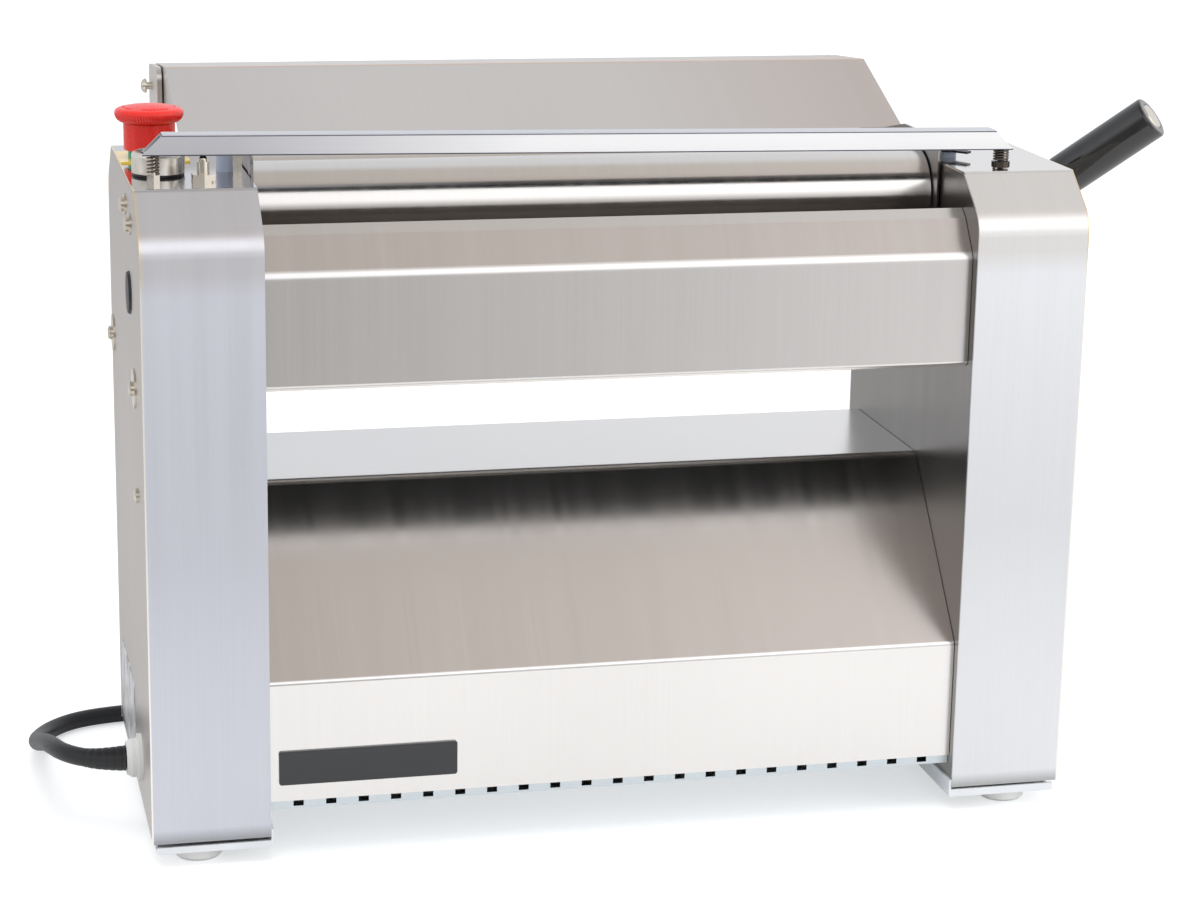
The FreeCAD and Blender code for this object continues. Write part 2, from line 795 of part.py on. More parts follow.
def frame_plate(side):
    """Thick plate inside a tower that carries the rollers, tie bars and drive."""
    body = new_body("left_frame" if side < 0 else "right_frame")
    top = COVER_UNDER - 2.5 * SIZE.SeatGap
    front = SIZE.FramePlateSetback
    rear = SIZE.TowerDepth - front
    rise = (SIZE.TopHeight - SIZE.ShoulderHeight) / SIZE.SlantDepth
    drop = 2 * SHEET
    shoulder = SIZE.ShoulderHeight + rise * front - drop
    slant_end = SIZE.SlantDepth + 1
    outline = [
        (front, TRAY_FLOOR),
        (front, shoulder),
        (slant_end, top),
        (SIZE.TowerDepth - slant_end, top),
        (rear, shoulder),
        (rear, TRAY_FLOOR),
    ]
    start = tower_start(side, CHEEK_OUTER, FRAME_OUTER)
    pad_polygon(body, "YZ", start, SIZE.FramePlateThickness, outline)
    holes = [(REAR_AXIS, SIZE.BushDiameter / 2 + SIZE.FitGap)]
    if side < 0:
        holes.append((HUB_AXIS, NECK_HOLE))
        holes.append((MOTOR_AXIS, SIZE.OutputShaftDiameter / 2 + SIZE.SeatGap))
        holes.append((IDLER_AXIS, SIZE.IdlerPinDiameter / 2 + SIZE.FitGap))
    else:
        holes.append((HUB_AXIS, SIZE.RightJournalDiameter / 2 + SIZE.FitGap))
    cut_circles(body, "YZ", start, holes)
    return body


GUIDE_BOSS = 8


def dough_guide(side):
    """Sheet beside the rollers that keeps the dough off the tower, on four low bosses."""
    body = new_body("left_guide" if side < 0 else "right_guide")
    outer = INNER - 1
    inner = outer - SHEET
    start = tower_start(side, inner, outer)
    outline = [
        (SIZE.GuideFrontY, SIZE.GuideBottomZ),
        (SIZE.GuideFrontY, SIZE.GuideTopZ),
        (SIZE.GuideRearY, SIZE.GuideTopZ),
        (SIZE.GuideRearY, SIZE.GuideBottomZ),
    ]
    pad_polygon(body, "YZ", start, SHEET, outline)
    round_corners(body, "YZ", [outline[1]], SIZE.GuideCorner)
    boss_start = outer if side > 0 else -INNER
    sketch = sketch_on(body, "YZ", boss_start)
    for y in (SIZE.GuideFrontY + 12, SIZE.GuideRearY - 12):
        for z in (SIZE.GuideBottomZ + 12, SIZE.GuideTopZ - 28):
            draw_circle(sketch, (y, z), GUIDE_BOSS)
    pad_sketch(body, sketch, "YZ", 1)
    neck = NECK_HOLE if side < 0 else SIZE.RightJournalDiameter / 2 + 1
    holes = [(HUB_AXIS, neck), (REAR_AXIS, SIZE.RearJournalDiameter / 2 + 2 * SIZE.SeatGap)]
    cut_circles(body, "YZ", start, holes)
    return body


def base_tray(side):
    """Shallow channel under a tower; its outer lip stands back behind the cover's front."""
    body = new_body("left_tray" if side < 0 else "right_tray")
    inner = side * (INNER - SHEET)
    outer = side * (HALF - SIZE.OuterPlateThickness)
    bottom = -SIZE.TrayDrop
    floor = [
        (inner, bottom),
        (inner, bottom + SIZE.TrayInnerLip),
        (inner + side * SHEET, bottom + SIZE.TrayInnerLip),
        (inner + side * SHEET, TRAY_FLOOR),
        (outer, TRAY_FLOOR),
        (outer, bottom),
    ]
    pad_polygon(body, "XZ", SIZE.TraySetback, SIZE.TowerDepth - 2 * SIZE.TraySetback, floor)
    round_corners(body, "XZ", [floor[0], floor[5]], SHEET * 0.8)
    lip = [
        (outer - side * SHEET, TRAY_FLOOR - SHEET / 2),
        (outer - side * SHEET, bottom + SIZE.TrayOuterLip),
        (outer, bottom + SIZE.TrayOuterLip),
        (outer, TRAY_FLOOR - SHEET / 2),
    ]
    setback = SIZE.FramePlateSetback
    pad_polygon(body, "XZ", setback, SIZE.TowerDepth - 2 * setback, lip)
    return body


def feet():
    members = []
    for side in (-1, 1):
        for y in (SIZE.FootFrontY, SIZE.FootRearY):
            base = (side * (HALF - SIZE.FootSide), y, FLOOR)
            radius = SIZE.FootDiameter / 2
            rim = [
                (0, 0),
                (radius - 1.5, 0),
                (radius, 1.5),
                (radius, SIZE.FootHeight),
                (0, SIZE.FootHeight),
            ]
            members.append(turned("foot", rim, base, UP))
    return group("feet", members)


# Panels

def upper_panel(label, rear):
    """Folded strip between the towers, in front of or behind the rollers."""
    body = new_body(label)
    outline = [
        (SIZE.PanelTopY, SIZE.PanelBottomZ),
        (SIZE.PanelTopY, SIZE.PanelTopZ),
        (SIZE.PanelTopY - SIZE.PanelNoseDepth, SIZE.PanelTopZ - SIZE.PanelNoseDrop),
        (SIZE.PanelFrontY, SIZE.PanelTopZ - SIZE.PanelCreaseDrop),
        (SIZE.PanelFrontY, SIZE.PanelBottomZ + SIZE.PanelToeRise),
        (SIZE.PanelFrontY + SIZE.PanelToeDepth, SIZE.PanelBottomZ),
    ]
    if rear:
        outline = [(SIZE.TowerDepth - y, z) for y, z in outline]
    pad_polygon(body, "YZ", -PANEL_HALF, 2 * PANEL_HALF, outline)
    round_corners(body, "YZ", outline[3:4], SIZE.ShoulderBend / 2)
    round_corners(body, "YZ", outline[4:6], SIZE.SmallBend)
    shape = body.Tip.Shape
    opening = faces_at(shape, 0, [-PANEL_HALF, PANEL_HALF]) + faces_at(shape, 1, [outline[0][0]])
    fold_sheet(body, opening, SHEET)
    return body


def lower_housing():
    """Shelf, sloped front, lower front and rear of the motor housing in one bent sheet."""
    body = new_body("lower_housing")
    outline = [
        (SIZE.HousingRearY, SIZE.HousingBottomZ),
        (SIZE.HousingRearY, SIZE.ShelfHeight),
        (SIZE.ShelfFrontY, SIZE.ShelfHeight),
        (SIZE.HousingFrontY, SIZE.CreaseHeight),
        (SIZE.HousingFrontY, SIZE.HousingBottomZ),
    ]
    pad_polygon(body, "YZ", -PANEL_HALF, 2 * PANEL_HALF, outline)
    round_corners(body, "YZ", [outline[2]], SIZE.ShelfBend)
    round_corners(body, "YZ", [outline[3]], SIZE.CreaseBend)
    round_corners(body, "YZ", [outline[1]], SIZE.SmallBend)
    shape = body.Tip.Shape
    opening = faces_at(shape, 0, [-PANEL_HALF, PANEL_HALF])
    opening += faces_at(shape, 2, [SIZE.HousingBottomZ])
    fold_sheet(body, opening, SHEET)
    return body


def vent_plate():
    """Pan that closes the housing below, with a row of slots in its front upstand."""
    body = new_body("vent_plate")
    front = SIZE.HousingFrontY + SHEET + SIZE.SeatGap
    rear = SIZE.HousingRearY - SHEET - SIZE.SeatGap
    bottom = SIZE.VentZ
    top = bottom + SIZE.VentUpstand
    outline = [
        (front, bottom),
        (front, top),
        (front + SHEET, top),
        (front + SHEET, bottom + SHEET),
        (rear - SHEET, bottom + SHEET),
        (rear - SHEET, top),
        (rear, top),
        (rear, bottom),
    ]
    pad_polygon(body, "YZ", -PANEL_HALF, 2 * PANEL_HALF, outline)
    count = int(float(2 * PANEL_HALF) // float(SIZE.SlotPitch))
    first = -(count - 1) / 2 * SIZE.SlotPitch
    low = bottom + SHEET
    slot = [
        (first - SIZE.SlotWidth / 2, low),
        (first + SIZE.SlotWidth / 2, low),
        (first + SIZE.SlotWidth / 2, low + SIZE.SlotHeight),
        (first - SIZE.SlotWidth / 2, low + SIZE.SlotHeight),
    ]
    pocket = cut_polygon(body, "XZ", front - 1, slot, 1 + 2 * SHEET, True)
    row = body.newObject("PartDesign::LinearPattern", "VentRow")
    row.Originals = [pocket]
    row.Direction = (pocket.Profile[0], ["H_Axis"])
    row.setExpression("Length", ((count - 1) * SIZE.SlotPitch).formula)
    row.Occurrences = count
    body.Tip = row
    doc.recompute()
    return body


def tie_bars():
    members = []
    for y, z in TIE_BAR_PLACES:
        base = (-CHEEK_OUTER, y, z)
        length = 2 * CHEEK_OUTER
        members.append(cylinder("tie_bar", base, DIRECTION[1], SIZE.TieBarDiameter / 2, length))
    return group("tie_bars", members)


# Rollers and their bearings

def roller(label, axis):
    """Ground tube."""
    body = new_body(label)
    pad_circle(body, "YZ", -ROLLER_HALF, 2 * ROLLER_HALF, axis, SIZE.RollerDiameter / 2)
    cut_circles(body, "YZ", 0, [(axis, SIZE.RollerBore / 2)])
    return body


def front_roller_ends():
    """Bored plugs: the left one has a neck for the sprocket, the axle passes through both."""
    fit = SIZE.FitGap
    outer = SIZE.RollerBore / 2 - fit
    bore = SIZE.AxleDiameter / 2 + fit
    neck = SIZE.RollerNeckDiameter / 2
    reach = sprocket_inner_face() - ROLLER_HALF
    step = reach - 3
    plug = SIZE.PlugLength
    left = [
        (bore, -plug),
        (outer, -plug),
        (outer, 0),
        (neck, 0),
        (neck, reach),
        (SIZE.AxleNeckDiameter / 2 + fit, reach),
        (SIZE.AxleNeckDiameter / 2 + fit, step),
        (bore, step),
    ]
    right = [(bore, -plug), (outer, -plug), (outer, 0), (bore, 0)]
    members = [
        turned("left_plug", left, (-ROLLER_HALF, *FRONT_AXIS), DIRECTION[-1]),
        turned("right_plug", right, (ROLLER_HALF, *FRONT_AXIS), DIRECTION[1]),
    ]
    return group("front_roller_ends", members)


def rear_roller_ends():
    """Plugs with journals that run in the bushes, the left one long enough for the sprocket."""
    outer = SIZE.RollerBore / 2 - SIZE.FitGap
    journal = SIZE.RearJournalDiameter / 2
    plug = SIZE.PlugLength
    members = []
    for side, reach in ((-1, sprocket_outer_face() + 2 - ROLLER_HALF), (1, FRAME_OUTER - ROLLER_HALF)):
        profile = [(0, -plug), (outer, -plug), (outer, 0), (journal, 0), (journal, reach), (0, reach)]
        members.append(turned("journal_plug", profile, (side * ROLLER_HALF, *REAR_AXIS), DIRECTION[side]))
    return group("rear_roller_ends", members)


def rear_bushes():
    """Flanged bushes pressed into the frame plates from outside."""
    bore = SIZE.RearJournalDiameter / 2 + SIZE.FitGap
    outer = SIZE.BushDiameter / 2
    flange = SIZE.BushFlangeDiameter / 2
    length = SIZE.FramePlateThickness + SHEET
    total = length + SIZE.BushFlangeThickness
    profile = [(bore, 0), (outer, 0), (outer, length), (flange, length), (flange, total), (bore, total)]
    members = [turned("bush", profile, (side * INNER, *REAR_AXIS), DIRECTION[side]) for side in (-1, 1)]
    return group("rear_bushes", members)


def eccentric_axle():
    """Dead axle: the roller turns on the offset middle, the end journals share the lever's axis."""
    middle_start = -(sprocket_inner_face() - 3 - 4 * SIZE.FitGap)
    middle_end = ROLLER_HALF + 0.4
    neck_start = -(sprocket_outer_face() + SIZE.SeatGap)
    bracket_outer = FRAME_OUTER + SIZE.StandoffLength + SIZE.BracketThickness
    hub_outer = HALF + 1 + SIZE.HubLength * 0.5
    along = DIRECTION[1]
    pieces = (
        ("axle_middle", middle_start, middle_end, FRONT_AXIS, SIZE.AxleDiameter / 2),
        ("axle_neck", neck_start, middle_start, FRONT_AXIS, SIZE.AxleNeckDiameter / 2),
        ("left_journal", -bracket_outer - 2, neck_start, HUB_AXIS, SIZE.LeftJournalDiameter / 2),
        ("right_journal", middle_end, hub_outer, HUB_AXIS, SIZE.RightJournalDiameter / 2),
    )
    members = []
    for label, start, end, axis, radius in pieces:
        members.append(cylinder(label, (start, *axis), along, radius, end - start))
    return fuse("eccentric_axle", members)


STANDOFF_PLACES = (
    (SIZE.FrontRollerY - 24.7, SIZE.RollerZ + 12.5),
    (SIZE.FrontRollerY + 27.3, SIZE.RollerZ + 14.5),
    (SIZE.FrontRollerY - 0.7, SIZE.RollerZ - 31.5),
)


def axle_bracket():
    """Outboard plate on three standoffs that holds the left journal beyond the chain."""
    body = new_body("axle_bracket")
    start = -FRAME_OUTER - SIZE.StandoffLength - SIZE.BracketThickness
    top = COVER_UNDER - 2 * SIZE.SeatGap
    front = SIZE.FrontRollerY - SIZE.BracketAhead
    rear = SIZE.FrontRollerY + SIZE.BracketBehind
    toe = SIZE.RollerZ - SIZE.BracketToeDrop
    outline = [
        (front, top),
        (rear, top),
        (rear, SIZE.RollerZ + SIZE.BracketRearRise),
        (SIZE.FrontRollerY + SIZE.BracketToeBehind, toe),
        (SIZE.FrontRollerY - SIZE.BracketToeAhead, toe),
        (front, SIZE.RollerZ + SIZE.BracketFrontRise),
    ]
    pad_polygon(body, "YZ", start, SIZE.BracketThickness, outline)
    round_corners(body, "YZ", outline[3:5], 5)
    cut_circles(body, "YZ", start, [(HUB_AXIS, SIZE.LeftJournalDiameter / 2 + SIZE.FitGap)])
    sketch = sketch_on(body, "YZ", start + SIZE.BracketThickness)
    for place in STANDOFF_PLACES:
        draw_circle(sketch, place, SIZE.StandoffDiameter / 2)
    pad_sketch(body, sketch, "YZ", SIZE.StandoffLength)
    return body


# Chain drive in the left tower

def pitch_radius(teeth):
    """Radius of the circle through the chain rollers on a sprocket."""
    number = float(SIZE.ChainPitch) / (2 * math.sin(math.pi / float(teeth)))
    return Size(number, f"({SIZE.ChainPitch.formula} / (2 * sin(180deg / {teeth.formula})))")


def sprocket_inner_face():
    return SIZE.ChainPlaneX - SIZE.SprocketHubLength / 2 - 0.5


def sprocket_outer_face():
    return sprocket_inner_face() + SIZE.SprocketHubLength


def sprocket(label, teeth, axis, bore):
    """Toothed disc in the chain plane on a hub, its tooth gaps cut as one gap in a ring pattern."""
    body = new_body(label)
    radius = pitch_radius(teeth)
    half_width = SIZE.ToothWidth / 2
    pad_circle(body, "XY", -half_width, SIZE.ToothWidth, (0, 0), radius + SIZE.ChainRollerDiameter * 0.3)
    seat = SIZE.ChainRollerDiameter / 2 + SIZE.FitGap
    gap = cut_circles(body, "XY", 0, [((radius, 0), seat)])
    ring = body.newObject("PartDesign::PolarPattern", body.Name + "Ring")
    ring.Originals = [gap]
    ring.Axis = (gap.Profile[0], ["N_Axis"])
    ring.Angle = 360
    ring.setExpression("Occurrences", teeth.formula)
    body.Tip = ring
    doc.recompute()
    hub_start = sprocket_inner_face() - SIZE.ChainPlaneX
    pad_circle(body, "XY", hub_start, SIZE.SprocketHubLength, (0, 0), SIZE.SprocketHubDiameter / 2)
    cut_circles(body, "XY", 0, [((0, 0), bore)])
    middle = point(-SIZE.ChainPlaneX, *axis)
    body.Placement = FreeCAD.Placement(middle, FreeCAD.Rotation(UP, DIRECTION[-1]))
    doc.recompute()
    return body


def output_sprocket():
    """The reducer's output shaft with its sprocket."""
    wheel = sprocket("output_wheel", SIZE.OutputTeeth, MOTOR_AXIS, SIZE.OutputShaftDiameter / 2)
    length = sprocket_outer_face() + 1 - CHEEK_OUTER + OUTPUT_SHAFT_DEPTH
    base = (-CHEEK_OUTER + OUTPUT_SHAFT_DEPTH, *MOTOR_AXIS)
    shaft = cylinder("output_shaft", base, DIRECTION[-1], SIZE.OutputShaftDiameter / 2, length)
    return group("output_sprocket", [wheel, shaft])


def idler_pin():
    """Shouldered pin in the left frame plate with a collar that keeps the idler on."""
    radius = SIZE.IdlerPinDiameter / 2
    seat = FRAME_OUTER - CHEEK_OUTER
    wheel = sprocket_inner_face() - CHEEK_OUTER - SIZE.SeatGap
    end = sprocket_outer_face() - CHEEK_OUTER + SIZE.SeatGap
    profile = [
        (0, 0),
        (radius, 0),
        (radius, seat),
        (radius + 3, seat),
        (radius + 3, wheel),
        (radius, wheel),
        (radius, end),
        (radius + 2, end),
        (radius + 2, end + 1.5),
        (0, end + 1.5),
    ]
    return turned("idler_pin", profile, (-CHEEK_OUTER, *IDLER_AXIS), DIRECTION[-1])


def chain_wheels():
    """Wheels in the order that the chain meets them: axis, pitch radius and turning sense."""
    roller_radius = float(pitch_radius(SIZE.RollerTeeth))
    output_radius = float(pitch_radius(SIZE.OutputTeeth))
    return (
        (MOTOR_AXIS, output_radius, 1),
        (REAR_AXIS, roller_radius, 1),
        (FRONT_AXIS, roller_radius, -1),
        (IDLER_AXIS, roller_radius, 1),
    )


def chain_tangents(wheels):
    """End points of the straight run between each wheel and the next."""
    runs = []
    for i, (start, start_radius, start_sense) in enumerate(wheels):
        end, end_radius, end_sense = wheels[(i + 1) % len(wheels)]
        dy, dz = float(end[0] - start[0]), float(end[1] - start[1])
        distance = math.hypot(dy, dz)
        lean = end_sense * end_radius - start_sense * start_radius
        along = math.sqrt(distance ** 2 - lean ** 2)
        heading = math.atan2(dz, dy) - math.atan2(lean, along)
        uy, uz = math.cos(heading), math.sin(heading)
        ny, nz = -uz, uy
        leave = (start[0].number - start_sense * start_radius * ny,
                 start[1].number - start_sense * start_radius * nz)
        reach = (end[0].number - end_sense * end_radius * ny,
                 end[1].number - end_sense * end_radius * nz)
        runs.append((leave, reach))
    return runs


def chain_line(wheels, runs):
    """Closed centre line of the chain in the plane of Y and Z."""
    edges = []
    for i, (leave, reach) in enumerate(runs):
        edges.append(Part.LineSegment(Vector(0, *leave), Vector(0, *reach)).toShape())
        axis, radius, sense = wheels[(i + 1) % len(wheels)]
        following = runs[(i + 1) % len(runs)][0]
        cy, cz = float(axis[0]), float(axis[1])
        begin = math.atan2(reach[1] - cz, reach[0] - cy)
        end = math.atan2(following[1] - cz, following[0] - cy)
        turn = (end - begin) * sense % (2 * math.pi) * sense
        middle = begin + turn / 2
        crown = Vector(0, cy + radius * math.cos(middle), cz + radius * math.sin(middle))
        edges.append(Part.Arc(Vector(0, *reach), crown, Vector(0, *following)).toShape())
    return Part.Wire(edges)


def chain_band(line, start, thickness):
    """Side plates of all links on one side, as an unbroken band along the chain."""
    half = float(SIZE.ChainPlateHeight) / 2
    outer = line.makeOffset2D(half)
    inner = line.makeOffset2D(-half)
    face = Part.Face(Part.Wire(outer.Edges)).cut(Part.Face(Part.Wire(inner.Edges)))
    band = face.extrude(Vector(thickness, 0, 0))
    band.translate(Vector(start, 0, 0))
    return band


def chain_rollers(wheels, runs, half_width):
    """Rollers at every pitch of the straight runs that stay clear of the sprocket teeth."""
    radius = float(SIZE.ChainRollerDiameter) / 2
    pitch = float(SIZE.ChainPitch)
    swing = 2 * float(SIZE.Eccentricity)
    rollers = []
    for leave, reach in runs:
        dy, dz = reach[0] - leave[0], reach[1] - leave[1]
        distance = math.hypot(dy, dz)
        for step in range(int(distance / pitch) + 1):
            share = step * pitch / distance
            y, z = leave[0] + dy * share, leave[1] + dz * share
            clearances = [math.hypot(y - float(axis[0]), z - float(axis[1])) - wheel_radius
                          for axis, wheel_radius, sense in wheels]
            if min(clearances) < radius + 0.3 * 2 * radius + swing:
                continue
            base = Vector(-half_width, y, z)
            rollers.append(Part.makeCylinder(radius, 2 * half_width, base, Vector(1, 0, 0)))
    return rollers


def drive_chain():
    """Chain over output, rear roller, under front roller and over the idler."""
    wheels = chain_wheels()
    runs = chain_tangents(wheels)
    line = chain_line(wheels, runs)
    half_width = float(SIZE.ChainInnerWidth) / 2
    thickness = float(SIZE.ChainPlateThickness)
    bands = [chain_band(line, start, thickness) for start in (-half_width - thickness, half_width)]
    chain = bands[0].fuse([bands[1]] + chain_rollers(wheels, runs, half_width))
    feature = shaped("drive_chain", chain)
    feature.Placement = FreeCAD.Placement(Vector(-float(SIZE.ChainPlaneX), 0, 0), FreeCAD.Rotation())
    return feature


def gear_reducer():
    """In-line reducer bolted to the left frame plate, with the bore of its output shaft."""
    radius = SIZE.ReducerDiameter / 2
    bore = SIZE.OutputShaftDiameter / 2 + SIZE.FitGap
    depth = OUTPUT_SHAFT_DEPTH + SIZE.SeatGap
    length = SIZE.ReducerLength
    profile = [
        (bore, 0),
        (radius, 0),
        (radius, length * 0.7),
        (radius - 8, length * 0.78),
        (radius - 8, length),
        (0, length),
        (0, depth),
        (bore, depth),
    ]
    return turned("gear_reducer", profile, (-CHEEK_OUTER, *MOTOR_AXIS), DIRECTION[1])


def drive_motor():
    """Motor on the end of the reducer with its fan cover."""
    radius = SIZE.MotorDiameter / 2
    length = SIZE.MotorLength
    profile = [
        (0, 0),
        (radius - 3, 0),
        (radius - 3, length * 0.06),
        (radius, length * 0.06),
        (radius, length * 0.72),
        (radius - 4, length * 0.72),
        (radius - 4, length * 0.96),
        (radius - 12, length),
        (0, length),
    ]
    base = (-CHEEK_OUTER + SIZE.ReducerLength, *MOTOR_AXIS)
    return turned("drive_motor", profile, base, DIRECTION[1])


def scraper(rear):
    """Sheet blade that nearly touches the underside of a roller, folded down at its foot."""
    body = new_body("rear_scraper" if rear else "front_scraper")
    reach = SIZE.RollerDiameter / 2 + SIZE.SeatGap
    edge = (SIZE.FrontRollerY + SIZE.ScraperEdge, SIZE.RollerZ - reach)
    foot = (SIZE.FrontRollerY - SIZE.ScraperFoot, SIZE.RollerZ - SIZE.ScraperFootDrop)
    path = [edge, foot, (foot[0], foot[1] - SIZE.ScraperLip)]
    outline = strip(path[::-1], 1.2)
    if rear:
        middle = 2 * float(SIZE.FrontRollerY + REAR_ROLLER_Y) / 2
        outline = [(middle - float(y), z) for y, z in outline]
    half = INNER - 1 - SHEET - SIZE.SeatGap
    pad_polygon(body, "YZ", -half, 2 * half, outline)
    return body


# Lever

def lever_direction():
    direction = Vector(float(SIZE.LeverOut), -float(SIZE.LeverForward), float(SIZE.LeverUp))
    return direction.normalize()


def lever_base():
    return point(HALF + SIZE.LeverBaseX, *HUB_AXIS)


def lever_hub():
    """Hub on the end of the axle with a slanting seat for the stud."""
    radius = SIZE.HubDiameter / 2
    length = SIZE.HubLength
    bore = SIZE.RightJournalDiameter / 2 + SIZE.FitGap
    depth = length * 0.5 + SIZE.SeatGap
    profile = [
        (bore, 0),
        (radius, 0),
        (radius, length - 2),
        (radius - 2, length),
        (0, length),
        (0, depth),
        (bore, depth),
    ]
    blank = turned("hub_blank", profile, (HALF + 1, *HUB_AXIS), DIRECTION[1])
    seat = cylinder("stud_seat", lever_base(), lever_direction(), SIZE.StudDiameter / 2, 60)
    hub = doc.addObject("Part::Cut", "LeverHub")
    hub.Label = "lever_hub"
    hub.Base = blank
    hub.Tool = seat
    doc.recompute()
    return hub


def lever_stud():
    """Long bolt from the hub through the grip, its round head sunk in the grip's end."""
    shank = SIZE.StudDiameter / 2
    head = SIZE.StudHeadDiameter / 2
    top = SIZE.LeverLength + 0.4
    under = SIZE.LeverLength - 4
    profile = [
        (0, 0),
        (shank, 0),
        (shank, under),
        (head, under),
        (head, top - 0.6),
        (head - 0.6, top),
        (0, top),
    ]
    return turned("lever_stud", profile, lever_base(), lever_direction())


def lever_grip():
    """Black grip, a straight bar eased at both ends and hollowed to sit over the hub."""
    end = SIZE.LeverLength
    start = end - SIZE.GripLength
    radius = SIZE.GripDiameter / 2
    bore = SIZE.StudDiameter / 2 + SIZE.FitGap
    recess = SIZE.StudHeadDiameter / 2 + SIZE.SeatGap
    profile = [
        (bore, start),
        (radius - 2.5, start),
        (radius, start + 2.5),
        (radius, end - 1.6),
        (radius - 0.5, end - 0.5),
        (radius - 1.6, end),
        (recess, end),
        (recess, end - 4),
        (bore, end - 4),
    ]
    blank = turned("grip_blank", profile, lever_base(), lever_direction())
    room = SIZE.HubDiameter / 2 + SIZE.SeatGap
    saddle = cylinder("hub_room", (HALF, *HUB_AXIS), DIRECTION[1], room, 2 * SIZE.HubLength)
    grip = doc.addObject("Part::Cut", "LeverGrip")
    grip.Label = "lever_grip"
    grip.Base = blank
    grip.Tool = saddle
    doc.recompute()
    return grip


# Infeed chute

def chute_path():
    drop = SIZE.ChuteSlope * (SIZE.ChuteFoldY - SIZE.ChuteMouthY)
    mouth = (SIZE.ChuteMouthY, SIZE.ChuteFoldZ - drop)
    fold = (SIZE.ChuteFoldY, SIZE.ChuteFoldZ)
    rear = (SIZE.ChuteRearY, SIZE.ChuteRearZ)
    foot = (SIZE.ChuteRearY, SIZE.ChuteRearZ - SIZE.ChuteReturn)
    return mouth, fold, rear, foot


def infeed_chute():
    """Sloping floor, folded top strip and rear return in one sheet, with side gussets."""
    body = new_body("infeed_chute")
    mouth, fold, rear, foot = chute_path()
    half = SIZE.ChuteHalfWidth
    outline = strip([mouth, fold, rear, foot], SHEET)
    pad_polygon(body, "YZ", -half, 2 * half, outline)
    tip_drop = SIZE.ChuteSlope * (SIZE.ChuteFoldY - SIZE.TongueTipY)
    tip = (SIZE.TongueTipY, SIZE.ChuteFoldZ - tip_drop)
    overlap = (SIZE.ChuteMouthY + SIZE.TongueOverlap, mouth[1] + SIZE.ChuteSlope * SIZE.TongueOverlap)
    tongue = SIZE.TongueHalfWidth
    pad_polygon(body, "YZ", -tongue, 2 * tongue, strip([tip, overlap], SHEET))
    start_y = SIZE.ChuteMouthY + SIZE.GussetSetback
    gusset = [
        (start_y, mouth[1] + SIZE.ChuteSlope * SIZE.GussetSetback - SHEET / 2),
        (fold[0], fold[1] - SHEET / 2),
        (rear[0] - SHEET / 2, rear[1] - SHEET / 2),
        (SIZE.PivotY + 7, rear[1] - SHEET),
        (SIZE.PivotY + 7, SIZE.PivotZ - 8),
        (SIZE.PivotY - 10, SIZE.PivotZ - 12),
    ]
    for side in (-1, 1):
        start = tower_start(side, half - SHEET, half)
        pad_polygon(body, "YZ", start, SHEET, gusset)
    cut_circles(body, "YZ", 0, [((SIZE.PivotY, SIZE.PivotZ), SIZE.PivotDiameter / 2 + SIZE.FitGap)])
    return body


def chute_arm(side):
    """Swan-necked arm on a flange at the rear of a tower."""
    body = new_body("left_arm" if side < 0 else "right_arm")
    inner = SIZE.ChuteHalfWidth + SIZE.ArmGap
    outer = inner + SIZE.ArmThickness
    back = SIZE.TowerDepth
    foot = SIZE.TopHeight - SIZE.ArmFootDrop
    head = SIZE.TopHeight - SIZE.ArmHeadDrop
    neck = SIZE.PivotY - SIZE.ArmNeckSetback
    outline = [
        (back, foot),
        (back, head),
        (neck, SIZE.TopHeight - SIZE.ArmNeckDrop),
        (neck, SIZE.PivotZ + 18),
        (SIZE.PivotY + 14, SIZE.PivotZ + 13),
        (SIZE.PivotY + 14, SIZE.PivotZ - 13),
        (back + SIZE.ArmFootDepth, foot),
    ]
    pad_polygon(body, "YZ", tower_start(side, inner, outer), SIZE.ArmThickness, outline)
    round_corners(body, "YZ", outline[2:6], 8)
    flange_inner = INNER + 8
    low = foot + SIZE.FlangeMargin
    high = head - SIZE.FlangeMargin
    flange = [(back, low), (back, high), (back + SIZE.ArmThickness, high), (back + SIZE.ArmThickness, low)]
    start = tower_start(side, flange_inner, outer)
    pad_polygon(body, "YZ", start, outer - flange_inner, flange)
    cut_circles(body, "YZ", 0, [((SIZE.PivotY, SIZE.PivotZ), SIZE.PivotDiameter / 2 + SIZE.FitGap)])
    return body


def chute_pivot_screws():
    """Shoulder screws through the arms that the gussets turn on."""
    shank = SIZE.PivotDiameter / 2
    length = SIZE.ArmThickness + SIZE.ArmGap + SHEET + 1 + SIZE.PivotStandOff
    head = SIZE.PivotHeadDiameter / 2
    members = []
    for side in (-1, 1):
        base = (side * (SIZE.ChuteHalfWidth - SHEET - 1), SIZE.PivotY, SIZE.PivotZ)
        profile = [
            (0, 0),
            (shank, 0),
            (shank, length),
            (head, length),
            (head, length + 1),
            (head * 0.8, length + 2.6),
            (head * 0.4, length + 3.5),
            (0, length + 3.5),
        ]
        members.append(turned("pivot_screw", profile, base, DIRECTION[side]))
    return group("chute_pivot_screws", members)


# Safety bar

def bar_bottom(x):
    """Height of the bar's lower edge over a place along it."""
    fall = math.tan(math.radians(float(SIZE.BarLean)))
    return float(SIZE.BarBottomZ) - (float(x) - float(SIZE.BarCentreX)) * fall


def bar_placement():
    tilt = FreeCAD.Rotation(Vector(0, 1, 0), float(SIZE.BarLean))
    return FreeCAD.Placement(point(SIZE.BarCentreX, 0, SIZE.BarBottomZ), tilt)


